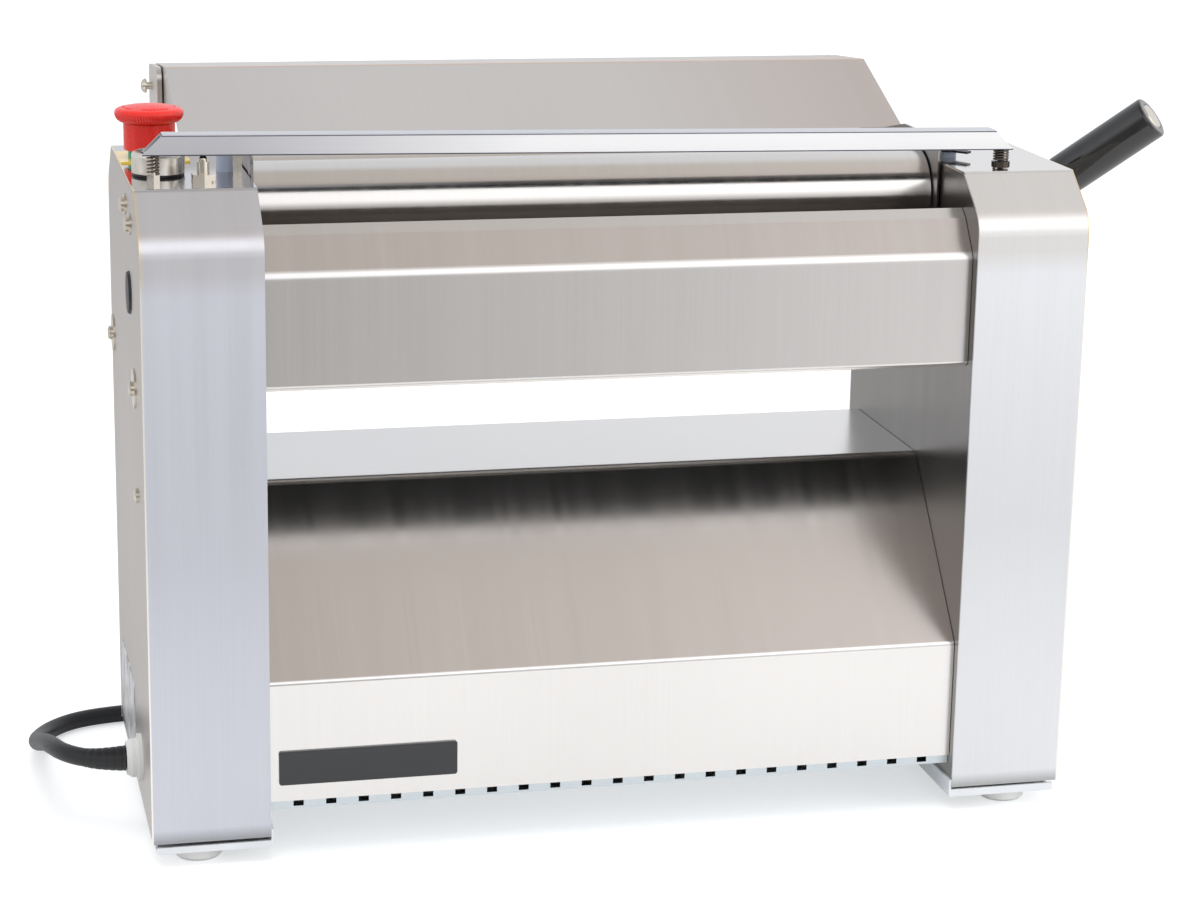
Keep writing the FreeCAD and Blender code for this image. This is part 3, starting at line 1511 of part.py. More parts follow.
def safety_bar():
    """Inverted channel with mitred ends, plates over the springs and the switch, lugs over the posts."""
    body = new_body("safety_bar")
    half = SIZE.BarLength / 2
    front = SIZE.BarFrontY
    height = SIZE.BarHeight
    trapezoid = [(-half, 0), (-half + height, height), (half - height, height), (half, 0)]
    pad_polygon(body, "XZ", front, SIZE.BarDepth, trapezoid)
    top_front = [(front, height), (front + SIZE.BarDepth, height)]
    round_corners(body, "YZ", top_front, 1)
    hollow = [
        (front + SHEET, -1),
        (front + SHEET, height - SHEET),
        (front + SIZE.BarDepth - SHEET, height - SHEET),
        (front + SIZE.BarDepth - SHEET, -1),
    ]
    cut_polygon(body, "YZ", 0, hollow)
    rear = front + SIZE.BarDepth
    screw = SIZE.BarScrewDiameter / 2 + SIZE.SeatGap
    wide = SIZE.SeatPlateWidth / 2
    for x in (-SIZE.LeftSpringX, -SIZE.SwitchX, SIZE.RightSpringX):
        place = x - SIZE.BarCentreX
        plate = [
            (place - wide, front + SHEET / 2),
            (place - wide, rear - SHEET / 2),
            (place + wide, rear - SHEET / 2),
            (place + wide, front + SHEET / 2),
        ]
        pad_polygon(body, "XY", 0, SIZE.SeatPlateThickness, plate)
    for x, y in ((-SIZE.LeftSpringX, SIZE.LeftSpringY), (SIZE.RightSpringX, SIZE.RightSpringY)):
        hole = ((x - SIZE.BarCentreX, y), screw)
        cut_circles(body, "XY", SIZE.SeatPlateThickness, [hole], 2 * SHEET)
    end = SIZE.PostY + SIZE.LugWidth / 2
    for side in (-1, 1):
        middle = side * SIZE.PostX - SIZE.BarCentreX
        near, far = middle - SIZE.LugWidth / 2, middle + SIZE.LugWidth / 2
        lug = [(near, rear - 0.5), (near, end), (far, end), (far, rear - 0.5)]
        pad_polygon(body, "XY", SIZE.LugRise, SIZE.LugThickness, lug)
        round_corners(body, "XY", lug[1:3], 4)
        cut_circles(body, "XY", SIZE.LugRise - 1, [((middle, SIZE.PostY), POST_SCREW)], 4, True)
    body.Placement = bar_placement()
    doc.recompute()
    return body


def lug_underside(side):
    """Lowest height of a lug's underside around its post."""
    x = side * float(SIZE.PostX)
    lean = math.radians(float(SIZE.BarLean))
    return bar_bottom(x) + float(SIZE.LugRise) / math.cos(lean) - 0.06


def bar_guide_posts():
    """Nylon posts under the lugs that slide in the tower tops."""
    bottom = float(COVER_UNDER) - 0.4
    members = []
    for side in (-1, 1):
        base = (side * SIZE.PostX, SIZE.PostY, bottom)
        height = lug_underside(side) - bottom
        radius = SIZE.PostDiameter / 2
        bore = POST_SCREW - 0.5
        profile = [
            (0, 0),
            (radius - 0.5, 0),
            (radius, 0.5),
            (radius, height),
            (bore, height),
            (bore, height - 8),
            (0, height - 8),
        ]
        members.append(turned("guide_post", profile, base, UP))
    return group("bar_guide_posts", members)


def post_screws():
    """Button-head screws through the lugs into the posts."""
    head = SIZE.PostHeadDiameter / 2
    members = []
    for side in (-1, 1):
        seat = lug_underside(side) + float(SIZE.LugThickness) + 0.15
        base = (side * SIZE.PostX, SIZE.PostY, seat)
        profile = [
            (0, -8),
            (POST_SCREW - 0.55, -8),
            (POST_SCREW - 0.55, 0),
            (head, 0),
            (head, 0.5),
            (head * 0.75, SIZE.PostHeadHeight - 0.4),
            (head * 0.4, SIZE.PostHeadHeight),
            (0, SIZE.PostHeadHeight),
        ]
        members.append(turned("post_screw", profile, base, UP))
    return group("post_screws", members)


def post_keeper():
    """Clip round the right post with a tongue that points outwards and to the front."""
    body = new_body("post_keepers")
    middle = (SIZE.PostX, SIZE.PostY)
    radius = SIZE.PostDiameter / 2
    pad_circle(body, "XY", SIZE.KeeperZ, SIZE.KeeperThickness, middle, radius + 1.4)
    tongue = [
        (SIZE.PostX, SIZE.PostY - radius - 1),
        (SIZE.PostX + radius + 1, SIZE.PostY),
        (SIZE.PostX + radius + 6, SIZE.PostY - radius - 5),
        (SIZE.PostX + radius + 2, SIZE.PostY - radius - 9),
    ]
    pad_polygon(body, "XY", SIZE.KeeperZ, SIZE.KeeperThickness, tongue)
    cut_circles(body, "XY", SIZE.KeeperZ, [(middle, radius + SIZE.FitGap)])
    return body


def guide_tab():
    """Upright tab on the left tower that stands up inside the bar and keeps it in line."""
    body = new_body("guide_tab")
    near = -SIZE.TabX - SIZE.TabWidth / 2
    far = -SIZE.TabX + SIZE.TabWidth / 2
    base = SIZE.TopHeight
    upright = [(near, base), (near, base + SIZE.TabRise), (far, base + SIZE.TabRise), (far, base)]
    pad_polygon(body, "XZ", SIZE.TabY, SIZE.SeatPlateThickness, upright)
    rear = SIZE.TabY + SIZE.SeatPlateThickness
    foot = [(near, rear - 0.5), (near, rear + 5), (far, rear + 5), (far, rear - 0.5)]
    pad_polygon(body, "XY", base, SIZE.SeatPlateThickness, foot)
    return body


def bar_fasteners():
    """Headed screws that hold the bar over its springs, the springs' seats and the guide tab."""
    shank = SIZE.BarScrewDiameter / 2
    head = shank + 1.2
    members = []
    places = (
        ("left", -SIZE.LeftSpringX, SIZE.LeftSpringY, SIZE.LeftNutHeight),
        ("right", SIZE.RightSpringX, SIZE.RightSpringY, SIZE.RightWasherHeight),
    )
    for label, x, y, seat in places:
        bottom = COVER_UNDER - 2.4
        under_head = bar_bottom(x) + float(SIZE.SeatPlateThickness + SIZE.SeatGap / 2) - float(bottom)
        profile = [
            (0, 0),
            (shank + 1.7, 0),
            (shank + 1.7, 2.4),
            (shank, 2.4),
            (shank, under_head),
            (head, under_head),
            (head, under_head + 1),
            (head - 0.7, under_head + 1.6),
            (0, under_head + 1.6),
        ]
        members.append(turned(label + "_bar_screw", profile, (x, y, bottom), UP))
        collar = new_body(label + "_spring_seat")
        if label == "left":
            pad_polygon(collar, "XY", SIZE.TopHeight, seat, hexagon((x, y), SIZE.NutAcrossFlats))
        else:
            pad_circle(collar, "XY", SIZE.TopHeight, seat, (x, y), SIZE.RightWasherDiameter / 2)
        cut_circles(collar, "XY", SIZE.TopHeight, [((x, y), shank + SIZE.FitGap)])
        members.append(collar)
    members.append(guide_tab())
    return group("bar_fasteners", members)


def hexagon(centre, across_flats):
    """Corners of a hexagon with two flats facing X."""
    corners = []
    half = across_flats / 2
    side = across_flats / math.sqrt(3)
    x, y = centre
    right = [(half, -side / 2), (half, side / 2), (0, side)]
    left = [(-half, side / 2), (-half, -side / 2), (0, -side)]
    for u, v in right + left:
        corners.append((x + u, y + v))
    return corners


# Wire forms

def arc_from(start, tangent, end):
    """Circular arc that leaves start along the tangent and ends at end."""
    chord = end - start
    length = chord.Length
    along = Vector(chord).normalize()
    side = tangent - along * (tangent * along)
    turn = math.acos(max(-1.0, min(1.0, tangent * along)))
    middle = start + chord * 0.5 + side.normalize() * (length / 2 * math.tan(turn / 2))
    return Part.Arc(start, middle, end)


def biarc(start, start_tangent, end, end_tangent):
    """Two arcs that join two points with given directions smoothly."""
    chord = end - start
    total = start_tangent + end_tangent
    factor = 2 * (1 - start_tangent * end_tangent)
    reach = (math.sqrt((chord * total) ** 2 + factor * (chord * chord)) - chord * total) / factor
    joint = (start + end + (start_tangent - end_tangent) * reach) * 0.5
    back = arc_from(end, end_tangent * -1, joint)
    crown = back.value((back.FirstParameter + back.LastParameter) / 2)
    return [arc_from(start, start_tangent, joint).toShape(), Part.Arc(joint, crown, end).toShape()]


def tube_along(edges, radius):
    """Round tube of one radius along joined edges."""
    path = Part.Wire(edges)
    first = edges[0]
    start = first.valueAt(first.FirstParameter)
    heading = first.tangentAt(first.FirstParameter)
    profile = Part.Wire(Part.Circle(start, heading, radius).toShape())
    return path.makePipeShell([profile], True, False), path


def least_gap(path, diameter, skip):
    """Least distance between stretches of a path further apart than skip, less the diameter."""
    points = path.discretize(Distance=diameter / 3)
    jump = int(skip / (diameter / 3)) + 1
    least = min((a - b).Length for i, a in enumerate(points) for b in points[i + jump:])
    return least - diameter


def bar_spring(label, x, y, seat, diameter, wire, curls):
    """Compression spring from its seat up to the plate in the bar, one curl per turn."""
    radius = float(diameter - wire) / 2
    bottom = float(SIZE.TopHeight + seat) + float(wire) / 2 + float(SIZE.FitGap)
    rise = bar_bottom(x) - float(SIZE.SeatGap) - float(wire) / 2 - bottom
    half_turns = 2 * int(float(curls))
    slope = rise / (float(curls) * 2 * math.pi * radius)
    stations = []
    for k in range(half_turns + 1):
        angle = math.pi * k
        place = Vector(radius * math.cos(angle), radius * math.sin(angle), rise * k / half_turns)
        heading = Vector(-math.sin(angle), math.cos(angle), slope).normalize()
        stations.append((place, heading))
    edges = []
    for (start, leave), (end, reach) in zip(stations, stations[1:]):
        edges += biarc(start, leave, end, reach)
    tube, path = tube_along(edges, float(wire) / 2)
    print(label, "least gap to itself", round(least_gap(path, float(wire), math.pi * radius), 2))
    feature = shaped(label, tube)
    feature.Placement = FreeCAD.Placement(point(x, y, bottom), FreeCAD.Rotation())
    return feature


# Devices on the left tower

def switch_plunger():
    """Domed pin under the plate in the bar's left end."""
    radius = SIZE.PlungerDiameter / 2
    height = SIZE.PlungerLength
    profile = [
        (0, 0),
        (radius, 0),
        (radius, height - 2.2),
        (radius * 0.8, height - 0.9),
        (radius * 0.45, height - 0.2),
        (0, height),
    ]
    base = (-SIZE.SwitchX, SIZE.SwitchY, SIZE.PlungerTopZ - height)
    return turned("switch_plunger", profile, base, UP)


def switch_barrel():
    """Limit switch: body and threaded barrel, sleeve round the pin, nut and washer on the tower top."""
    body = new_body("switch_barrel")
    middle = (-SIZE.SwitchX, SIZE.SwitchY)
    bottom = SIZE.PlungerTopZ - SIZE.PlungerLength - 5
    nut_top = SIZE.TopHeight + SIZE.SwitchNutHeight
    top = SIZE.TopHeight + SIZE.SwitchSleeveRise
    pad_circle(body, "XY", bottom, nut_top - bottom, middle, SIZE.SwitchBarrelDiameter / 2)
    pad_polygon(body, "XY", SIZE.TopHeight, SIZE.SwitchNutHeight, hexagon(middle, SIZE.SwitchNutFlats))
    pad_circle(body, "XY", SIZE.TopHeight, SIZE.SwitchWasherHeight, middle, SIZE.SwitchWasherDiameter / 2)
    pad_circle(body, "XY", nut_top - 1, top - nut_top + 1, middle, SIZE.SwitchSleeveDiameter / 2)
    x, y = middle
    block = [(x - 7, y - 11), (x + 6, y - 11), (x + 6, y + 6), (x - 7, y + 6)]
    pad_polygon(body, "XY", bottom - SIZE.SwitchBodyHeight, SIZE.SwitchBodyHeight, block)
    bore = SIZE.PlungerDiameter / 2 + 2 * SIZE.FitGap
    cut_circles(body, "XY", top + 1, [(middle, bore)], top + 1 - bottom)
    return body


def stop_collar():
    """Green ring at the foot of the emergency stop."""
    bottom = SIZE.TopHeight + SIZE.StopPlateThickness
    outer = SIZE.StopRingDiameter / 2
    bore = SIZE.DeviceBarrelDiameter / 2 + SIZE.FitGap
    profile = [(bore, 0), (outer, 0), (outer, 4.7), (bore, 4.7)]
    return turned("estop_collar", profile, (-SIZE.StopX, SIZE.StopY, bottom), UP)


def stop_plate():
    """Blank yellow plate under the emergency stop."""
    body = new_body("estop_plate")
    left = -HALF + 0.2
    front = SIZE.StopY + 4 - SIZE.StopPlateDepth / 2
    corners = [
        (left, front),
        (left + SIZE.StopPlateWidth, front),
        (left + SIZE.StopPlateWidth, front + SIZE.StopPlateDepth),
        (left, front + SIZE.StopPlateDepth),
    ]
    pad_polygon(body, "XY", SIZE.TopHeight, SIZE.StopPlateThickness, corners)
    round_corners(body, "XY", corners, 1.5)
    hole = SIZE.DeviceBarrelDiameter / 2 + 4 * SIZE.FitGap
    cut_circles(body, "XY", SIZE.TopHeight, [((-SIZE.StopX, SIZE.StopY), hole)])
    return body


def stop_stem():
    """Hollow skirt over the green ring with a core that slides in the barrel."""
    outer = SIZE.StopSkirtDiameter / 2
    inner = SIZE.StopRingDiameter / 2 + STOP_SKIRT_CLEARANCE
    low = SIZE.TopHeight + SIZE.StopPlateThickness + SIZE.StopTravel + 1
    top = SIZE.StopHeadUnderZ - 0.2
    base = float(low)
    web = float(top) - 3 - base
    full = float(top) - base
    core_end = float(SIZE.TopHeight) - 12 - base
    profile = [
        (0, core_end),
        (STOP_CORE, core_end),
        (STOP_CORE, web),
        (inner, web),
        (inner, 0),
        (outer, 0),
        (outer, full),
        (4, full),
        (4, full + 5),
        (0, full + 5),
    ]
    return turned("estop_stem", profile, (-SIZE.StopX, SIZE.StopY, low), UP)


def stop_head():
    """Red mushroom head with a knurled rim, on the stem's spigot."""
    radius = SIZE.StopHeadDiameter / 2
    height = float(SIZE.StopHeadTopZ - SIZE.StopHeadUnderZ)
    profile = [
        (4.1, 0),
        (radius - 3, 0),
        (radius - 0.8, 0.9),
        (radius, 2.6),
        (radius, 5.8),
        (radius - 0.5, 7),
        (radius - 2, 8.3),
        (radius * 0.6, height - 0.9),
        (radius * 0.3, height - 0.2),
        (0, height),
        (0, 5.2),
        (4.1, 5.2),
    ]
    body = turned("estop_head", profile, (0, 0, 0), UP)
    groove = [(radius - 0.5, 0), (radius + 1, -1.4), (radius + 1, 1.4)]
    notch = cut_polygon(body, "XY", 0, groove)
    rim = body.newObject("PartDesign::PolarPattern", "HeadKnurl")
    rim.Originals = [notch]
    rim.Axis = (notch.Profile[0], ["N_Axis"])
    rim.Angle = 360
    rim.Occurrences = 40
    body.Tip = rim
    place = point(-SIZE.StopX, SIZE.StopY, SIZE.StopHeadUnderZ)
    body.Placement = FreeCAD.Placement(place, FreeCAD.Rotation())
    doc.recompute()
    return body


def contact_block(label, x, y, barrel_top, bore, bore_depth):
    """Contact block under the tower top with the barrel that comes up through it."""
    body = new_body(label)
    under = COVER_UNDER
    half = SIZE.BlockSide / 2
    square = [(x - half, y - half), (x + half, y - half), (x + half, y + half), (x - half, y + half)]
    pad_polygon(body, "XY", under - SIZE.BlockHeight, SIZE.BlockHeight, square)
    pad_circle(body, "XY", under - 1, barrel_top - under + 1, (x, y), SIZE.DeviceBarrelDiameter / 2)
    cut_circles(body, "XY", barrel_top + 1, [((x, y), bore)], bore_depth + 1)
    return body


def contact_blocks():
    """The emergency stop's and the start button's blocks."""
    stop_top = SIZE.TopHeight + SIZE.StopPlateThickness + 4.7
    stop = contact_block("stop_block", -SIZE.StopX, SIZE.StopY, stop_top, STOP_CORE + 0.2, 24)
    button_top = SIZE.TopHeight + SIZE.SealHeight - SIZE.SeatGap
    button = contact_block("button_block", -SIZE.ButtonX, SIZE.ButtonY, button_top, BUTTON_CORE + 0.2, 12)
    return group("contact_blocks", [stop, button])


def start_bezel():
    """Bright collar with a rounded shoulder round the start button, on a dark seal ring."""
    outer = SIZE.BezelDiameter / 2
    bore = SIZE.BezelOpening / 2
    seal = SIZE.SealHeight
    height = float(SIZE.BezelTopZ - SIZE.TopHeight)
    barrel = SIZE.DeviceBarrelDiameter / 2 + SIZE.FitGap
    collar = [
        (bore, seal),
        (outer, seal),
        (outer, height - 5),
        (outer - 0.5, height - 2.6),
        (outer - 1.2, height - 1.2),
        (bore + 0.6, height),
        (bore, height - 0.5),
    ]
    ring = [(barrel, 0), (outer + 0.3, 0), (outer + 0.3, seal), (barrel, seal)]
    base = (-SIZE.ButtonX, SIZE.ButtonY, SIZE.TopHeight)
    members = [turned("bezel_collar", collar, base, UP), turned("bezel_seal", ring, base, UP)]
    return group("start_bezel", members)


def start_button():
    """Black cap sunk in the bezel, on a core that slides in the barrel."""
    radius = SIZE.BezelOpening / 2 - 4 * SIZE.FitGap
    low = SIZE.TopHeight + SIZE.SealHeight + SIZE.ButtonTravel + SIZE.SeatGap
    height = float(SIZE.BezelTopZ) - 2 - float(low)
    core_end = -8
    profile = [
        (0, core_end),
        (BUTTON_CORE, core_end),
        (BUTTON_CORE, 0),
        (radius, 0),
        (radius, height - 0.8),
        (radius - 0.8, height),
        (0, height),
    ]
    return turned("start_button", profile, (-SIZE.ButtonX, SIZE.ButtonY, low), UP)


# Side fittings

def side_screws():
    """Pan-head screws of both outer plates, most with a washer."""
    members = []
    for side in (-1, 1):
        for y, z, washer in screw_places(side):
            seat = SCREW_WASHER if washer else 0
            top = seat + SCREW_HEAD_HEIGHT
            shank = SCREW_HOLE - 0.1
            profile = [(0, -SCREW_REACH), (shank, -SCREW_REACH), (shank, 0)]
            if washer:
                profile += [(washer, 0), (washer, SCREW_WASHER)]
            profile += [(SCREW_HEAD_RADIUS, seat), (SCREW_HEAD_RADIUS, top - 0.9),
                        (SCREW_HEAD_RADIUS - 1.1, top), (0, top)]
            members.append(turned("side_screw", profile, (side * HALF, y, z), DIRECTION[side]))
    return group("side_screws", members)


def hole_plug():
    """Black plug that closes a round opening in the left plate."""
    flange = SIZE.PlugHoleDiameter / 2
    spigot = flange - 2.5
    depth = SIZE.OuterPlateThickness + 2
    profile = [(0, -depth), (spigot, -depth), (spigot, 0), (flange, 0), (flange - 0.8, 1.6), (0, 2)]
    base = (-HALF, SIZE.PlugHoleY, SIZE.PlugHoleZ)
    return turned("hole_plug", profile, base, DIRECTION[-1])


def rating_plate():
    """Blank plate on the left side."""
    body = new_body("rating_plate")
    front, rear = SIZE.LabelFrontY, SIZE.LabelRearY
    corners = [
        (front, SIZE.LabelBottomZ),
        (front, SIZE.LabelTopZ),
        (rear, SIZE.LabelTopZ),
        (rear, SIZE.LabelBottomZ),
    ]
    pad_polygon(body, "YZ", -HALF - SIZE.LabelThickness, SIZE.LabelThickness, corners)
    round_corners(body, "YZ", corners, 2)
    return body


def badge():
    """Blank domed badge on the lower front."""
    body = new_body("badge")
    left, right = -SIZE.BadgeLeftX, -SIZE.BadgeRightX
    corners = [
        (left, SIZE.BadgeBottomZ),
        (right, SIZE.BadgeBottomZ),
        (right, SIZE.BadgeTopZ),
        (left, SIZE.BadgeTopZ),
    ]
    pad_polygon(body, "XZ", SIZE.HousingFrontY - SIZE.BadgeThickness, SIZE.BadgeThickness, corners)
    round_corners(body, "XZ", corners, 2)
    return body


def cable_gland():
    """Gland with a nut outside the left plate and a spigot through it."""
    reach = SIZE.GlandReach
    profile = [
        (0, -7),
        (GLAND_SPIGOT, -7),
        (GLAND_SPIGOT, 0),
        (14, 0),
        (14, 2.5),
        (11.5, 3),
        (11.5, reach - 3),
        (9.6, reach),
        (0, reach),
    ]
    return turned("cable_gland", profile, (-HALF, SIZE.GlandY, SIZE.GlandZ), DIRECTION[-1])


# Mains cable

def cable_route():
    """Points of the free cable from the gland to the coil, chosen along the cable in view."""
    gland_x = -float(HALF + SIZE.GlandReach)
    gland_y = float(SIZE.GlandY)
    gland_z = float(SIZE.GlandZ)
    ground = float(FLOOR) + float(SIZE.CordDiameter) / 2
    coil_start = -float(SIZE.CoilX) - float(SIZE.CordDiameter)
    coil_y = COIL_FRONT_Y
    return [
        Vector(gland_x, gland_y, gland_z),
        Vector(gland_x - 13.5, gland_y, gland_z),
        Vector(-310.5, 70.6, 30),
        Vector(-320, 83, 29.4),
        Vector(-324.5, 102, 26.5),
        Vector(-327, 127, 20),
        Vector(-329, 153, 10.5),
        Vector(-330.5, 180, 1),
        Vector(-329, 206, -6.5),
        Vector(-321, 229, ground),
        Vector(-305, 244.5, ground),
        Vector(-281, 252, ground),
        Vector(-247, 254.5, ground),
        Vector(-209, 253.5, ground),
        Vector(-173, 250.5, ground),
        Vector(-141, coil_y, ground),
        Vector(coil_start, coil_y, ground),
    ]


def mains_cable():
    """Straight runs joined by arcs that are as large as the runs beside them allow."""
    points = cable_route()
    edges = []
    radii = []
    begin = points[0]
    for before, corner, after in zip(points, points[1:], points[2:]):
        arrive = (corner - before).normalize()
        depart = (after - corner).normalize()
        turn = arrive.getAngle(depart)
        shorter = min((corner - before).Length, (after - corner).Length)
        setback = 0.45 * shorter
        radius = setback / math.tan(turn / 2)
        start = corner - arrive * setback
        end = corner + depart * setback
        bisector = (depart - arrive).normalize()
        middle = corner + bisector * (radius / math.cos(turn / 2) - radius)
        edges.append(Part.LineSegment(begin, start).toShape())
        edges.append(Part.Arc(start, middle, end).toShape())
        radii.append(round(radius, 1))
        begin = end
    edges.append(Part.LineSegment(begin, points[-1]).toShape())
    tube, path = tube_along(edges, float(SIZE.CordDiameter) / 2)
    section = math.pi * (float(SIZE.CordDiameter) / 2) ** 2
    print("cable radii", radii)
    print("cable length", round(path.Length, 1), "volume over section times length",
          round(tube.Volume / (section * path.Length), 5))
    return shaped("mains_cable", tube)


def coil_edges():
    """Spiral in by half turns, climb one layer in the reversing half turn, spiral out again."""
    pitch = float(SIZE.CoilPitch)
    x = -float(SIZE.CoilX)
    low = float(FLOOR) + float(SIZE.CordDiameter) / 2
    lead = float(SIZE.CordDiameter)
    outer = float(SIZE.CoilOuterRadius)
    y = COIL_FRONT_Y
    edges = [Part.LineSegment(Vector(x - lead, y, low), Vector(x, y, low)).toShape()]
    sense = 1
    for k in range(4):
        radius = outer - k * pitch / 2
        far = y + sense * 2 * radius
        side = Vector(x + sense * radius, (y + far) / 2, low)
        edges.append(Part.Arc(Vector(x, y, low), side, Vector(x, far, low)).toShape())
        y = far
        sense = -sense
    inner = outer - 2 * pitch
    centre_y = y + inner
    rise = Vector(0, 1, 1.7 * pitch / (math.pi * inner)).normalize()
    start = Vector(x, y, low)
    middle = Vector(x + inner, centre_y, low + pitch / 2)
    end = Vector(x, y + 2 * inner, low + pitch)
    edges += biarc(start, Vector(1, 0, 0), middle, rise)
    edges += biarc(middle, rise, end, Vector(-1, 0, 0))
    y = y + 2 * inner
    high = low + pitch
    sense = -1
    for k in (3, 2, 1):
        radius = outer - k * pitch / 2
        far = y + sense * 2 * radius
        side = Vector(x + sense * radius, (y + far) / 2, high)
        edges.append(Part.Arc(Vector(x, y, high), side, Vector(x, far, high)).toShape())
        y = far
        sense = -sense
    tail = float(SIZE.CoilTail)
    edges.append(Part.LineSegment(Vector(x, y, high), Vector(x + tail, y, high)).toShape())
    return edges


def cable_coil():
    tube, path = tube_along(coil_edges(), float(SIZE.CordDiameter) / 2)
    gap = least_gap(path, float(SIZE.CordDiameter), 60)
    print("coil length", round(path.Length, 1), "least gap to itself", round(gap, 2))
    return shaped("cable_coil", tube)


def mains_plug():
    """Round plug with a waist at the cable and two pins, lying beside the coil."""
    radius = SIZE.PlugDiameter / 2
    length = SIZE.PlugBodyLength
    waist = SIZE.CordDiameter / 2 + 1.5
    profile = [
        (0, 0),
        (waist, 0),
        (waist + 0.8, 12),
        (radius - 4, 20),
        (radius, 25),
        (radius, length - 2),
        (radius - 1, length),
        (0, length),
    ]
    x = -SIZE.CoilX + SIZE.CoilTail
    z = FLOOR + SIZE.CordDiameter / 2 + SIZE.CoilPitch
    shell = turned("plug_body", profile, (x, COIL_FRONT_Y, z), DIRECTION[1])
    members = [shell]
    for offset in (-9.5, 9.5):
        base = (x + length - 4, COIL_FRONT_Y + offset, z)
        members.append(cylinder("plug_pin", base, DIRECTION[1], 2.4, 23))
    return fuse("mains_plug", members)


# Assembly

def build_nodes():
    """Every sub-part of the machine, in assembly order."""
    left_spring = ("bar_spring_left", -SIZE.LeftSpringX, SIZE.LeftSpringY, SIZE.LeftNutHeight,
                   SIZE.LeftSpringDiameter, SIZE.LeftSpringWire, SIZE.LeftSpringCurls)
    right_spring = ("bar_spring_right", SIZE.RightSpringX, SIZE.RightSpringY, SIZE.RightWasherHeight,
                    SIZE.RightSpringDiameter, SIZE.RightSpringWire, SIZE.RightSpringCurls)
    axle_bore = SIZE.AxleNeckDiameter / 2 + SIZE.FitGap
    return [
        group("base_trays", [base_tray(side) for side in (-1, 1)]),
        feet(),
        group("frame_plates", [frame_plate(side) for side in (-1, 1)]),
        group("inner_cheeks", [inner_cheek(side) for side in (-1, 1)]),
        tie_bars(),
        group("dough_guides", [dough_guide(side) for side in (-1, 1)]),
        tower_cover("left_cover", -1),
        tower_cover("right_cover", 1),
        outer_plate(-1),
        outer_plate(1),
        side_screws(),
        hole_plug(),
        rating_plate(),
        upper_panel("upper_front_panel", False),
        upper_panel("upper_rear_panel", True),
        lower_housing(),
        vent_plate(),
        badge(),
        roller("front_roller", FRONT_AXIS),
        front_roller_ends(),
        roller("rear_roller", REAR_AXIS),
        rear_roller_ends(),
        rear_bushes(),
        eccentric_axle(),
        axle_bracket(),
        sprocket("front_sprocket", SIZE.RollerTeeth, FRONT_AXIS, axle_bore),
        sprocket("rear_sprocket", SIZE.RollerTeeth, REAR_AXIS, SIZE.RearJournalDiameter / 2 + SIZE.FitGap),
        sprocket("idler_sprocket", SIZE.RollerTeeth, IDLER_AXIS, SIZE.IdlerPinDiameter / 2 + SIZE.FitGap),
        idler_pin(),
        output_sprocket(),
        drive_chain(),
        gear_reducer(),
        drive_motor(),
        group("scrapers", [scraper(False), scraper(True)]),
        lever_hub(),
        lever_stud(),
        lever_grip(),
        infeed_chute(),
        group("chute_arms", [chute_arm(side) for side in (-1, 1)]),
        chute_pivot_screws(),
        safety_bar(),
        bar_guide_posts(),
        post_screws(),
        post_keeper(),
        bar_fasteners(),
        bar_spring(*left_spring),
        bar_spring(*right_spring),
        switch_plunger(),
        switch_barrel(),
        stop_plate(),
        stop_collar(),
        stop_stem(),
        stop_head(),
        contact_blocks(),
        start_bezel(),
        start_button(),
        cable_gland(),
        mains_cable(),
        cable_coil(),
        mains_plug(),
    ]


CABLE_NODES = ("mains_cable", "cable_coil", "mains_plug")


def footprint_shift(nodes):
    """Move that puts the middle of the machine's footprint at the origin, cable left out."""
    box = FreeCAD.BoundBox()
    for node in nodes:
        if node.Label not in CABLE_NODES:
            box.add(node.Shape.optimalBoundingBox(False, False))
    middle = box.Center
    return Vector(-middle.x, -middle.y, -box.ZMin)


def check_shapes(nodes):
    """Stop if any feature failed or any sub-part is not a sound solid."""
    for thing in doc.Objects:
        if "Invalid" in thing.State or "Error" in thing.State:
            raise RuntimeError(f"{thing.Label} failed: {thing.State}")
    for node in nodes:
        shape = node.Shape
        if shape.isNull() or not shape.isValid() or not shape.Solids:
            raise RuntimeError(f"{node.Label} is not a valid solid")


def main():
    nodes = build_nodes()
    doc.recompute()
    check_shapes(nodes)
    shift = footprint_shift(nodes)
    print("shift", round(shift.x, 3), round(shift.y, 3), round(shift.z, 3))
    for node in nodes:
        placement = node.Placement
        node.Placement = FreeCAD.Placement(placement.Base + shift, placement.Rotation)
    doc.recompute()
    check_shapes(nodes)
    os.makedirs("parts", exist_ok=True)
    for node in nodes:
        node.Shape.exportStep(f"parts/{node.Label}.step")
    print(len(nodes), "sub-parts")


main()
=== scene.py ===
# Bench-top pasta sheeter: two sheet-steel towers carry a pair of driven rollers,
# with a thickness lever, a sprung safety bar, a stop button and an infeed chute.
import math

import bmesh
import bpy
import numpy as np
from mathutils import Matrix, Vector


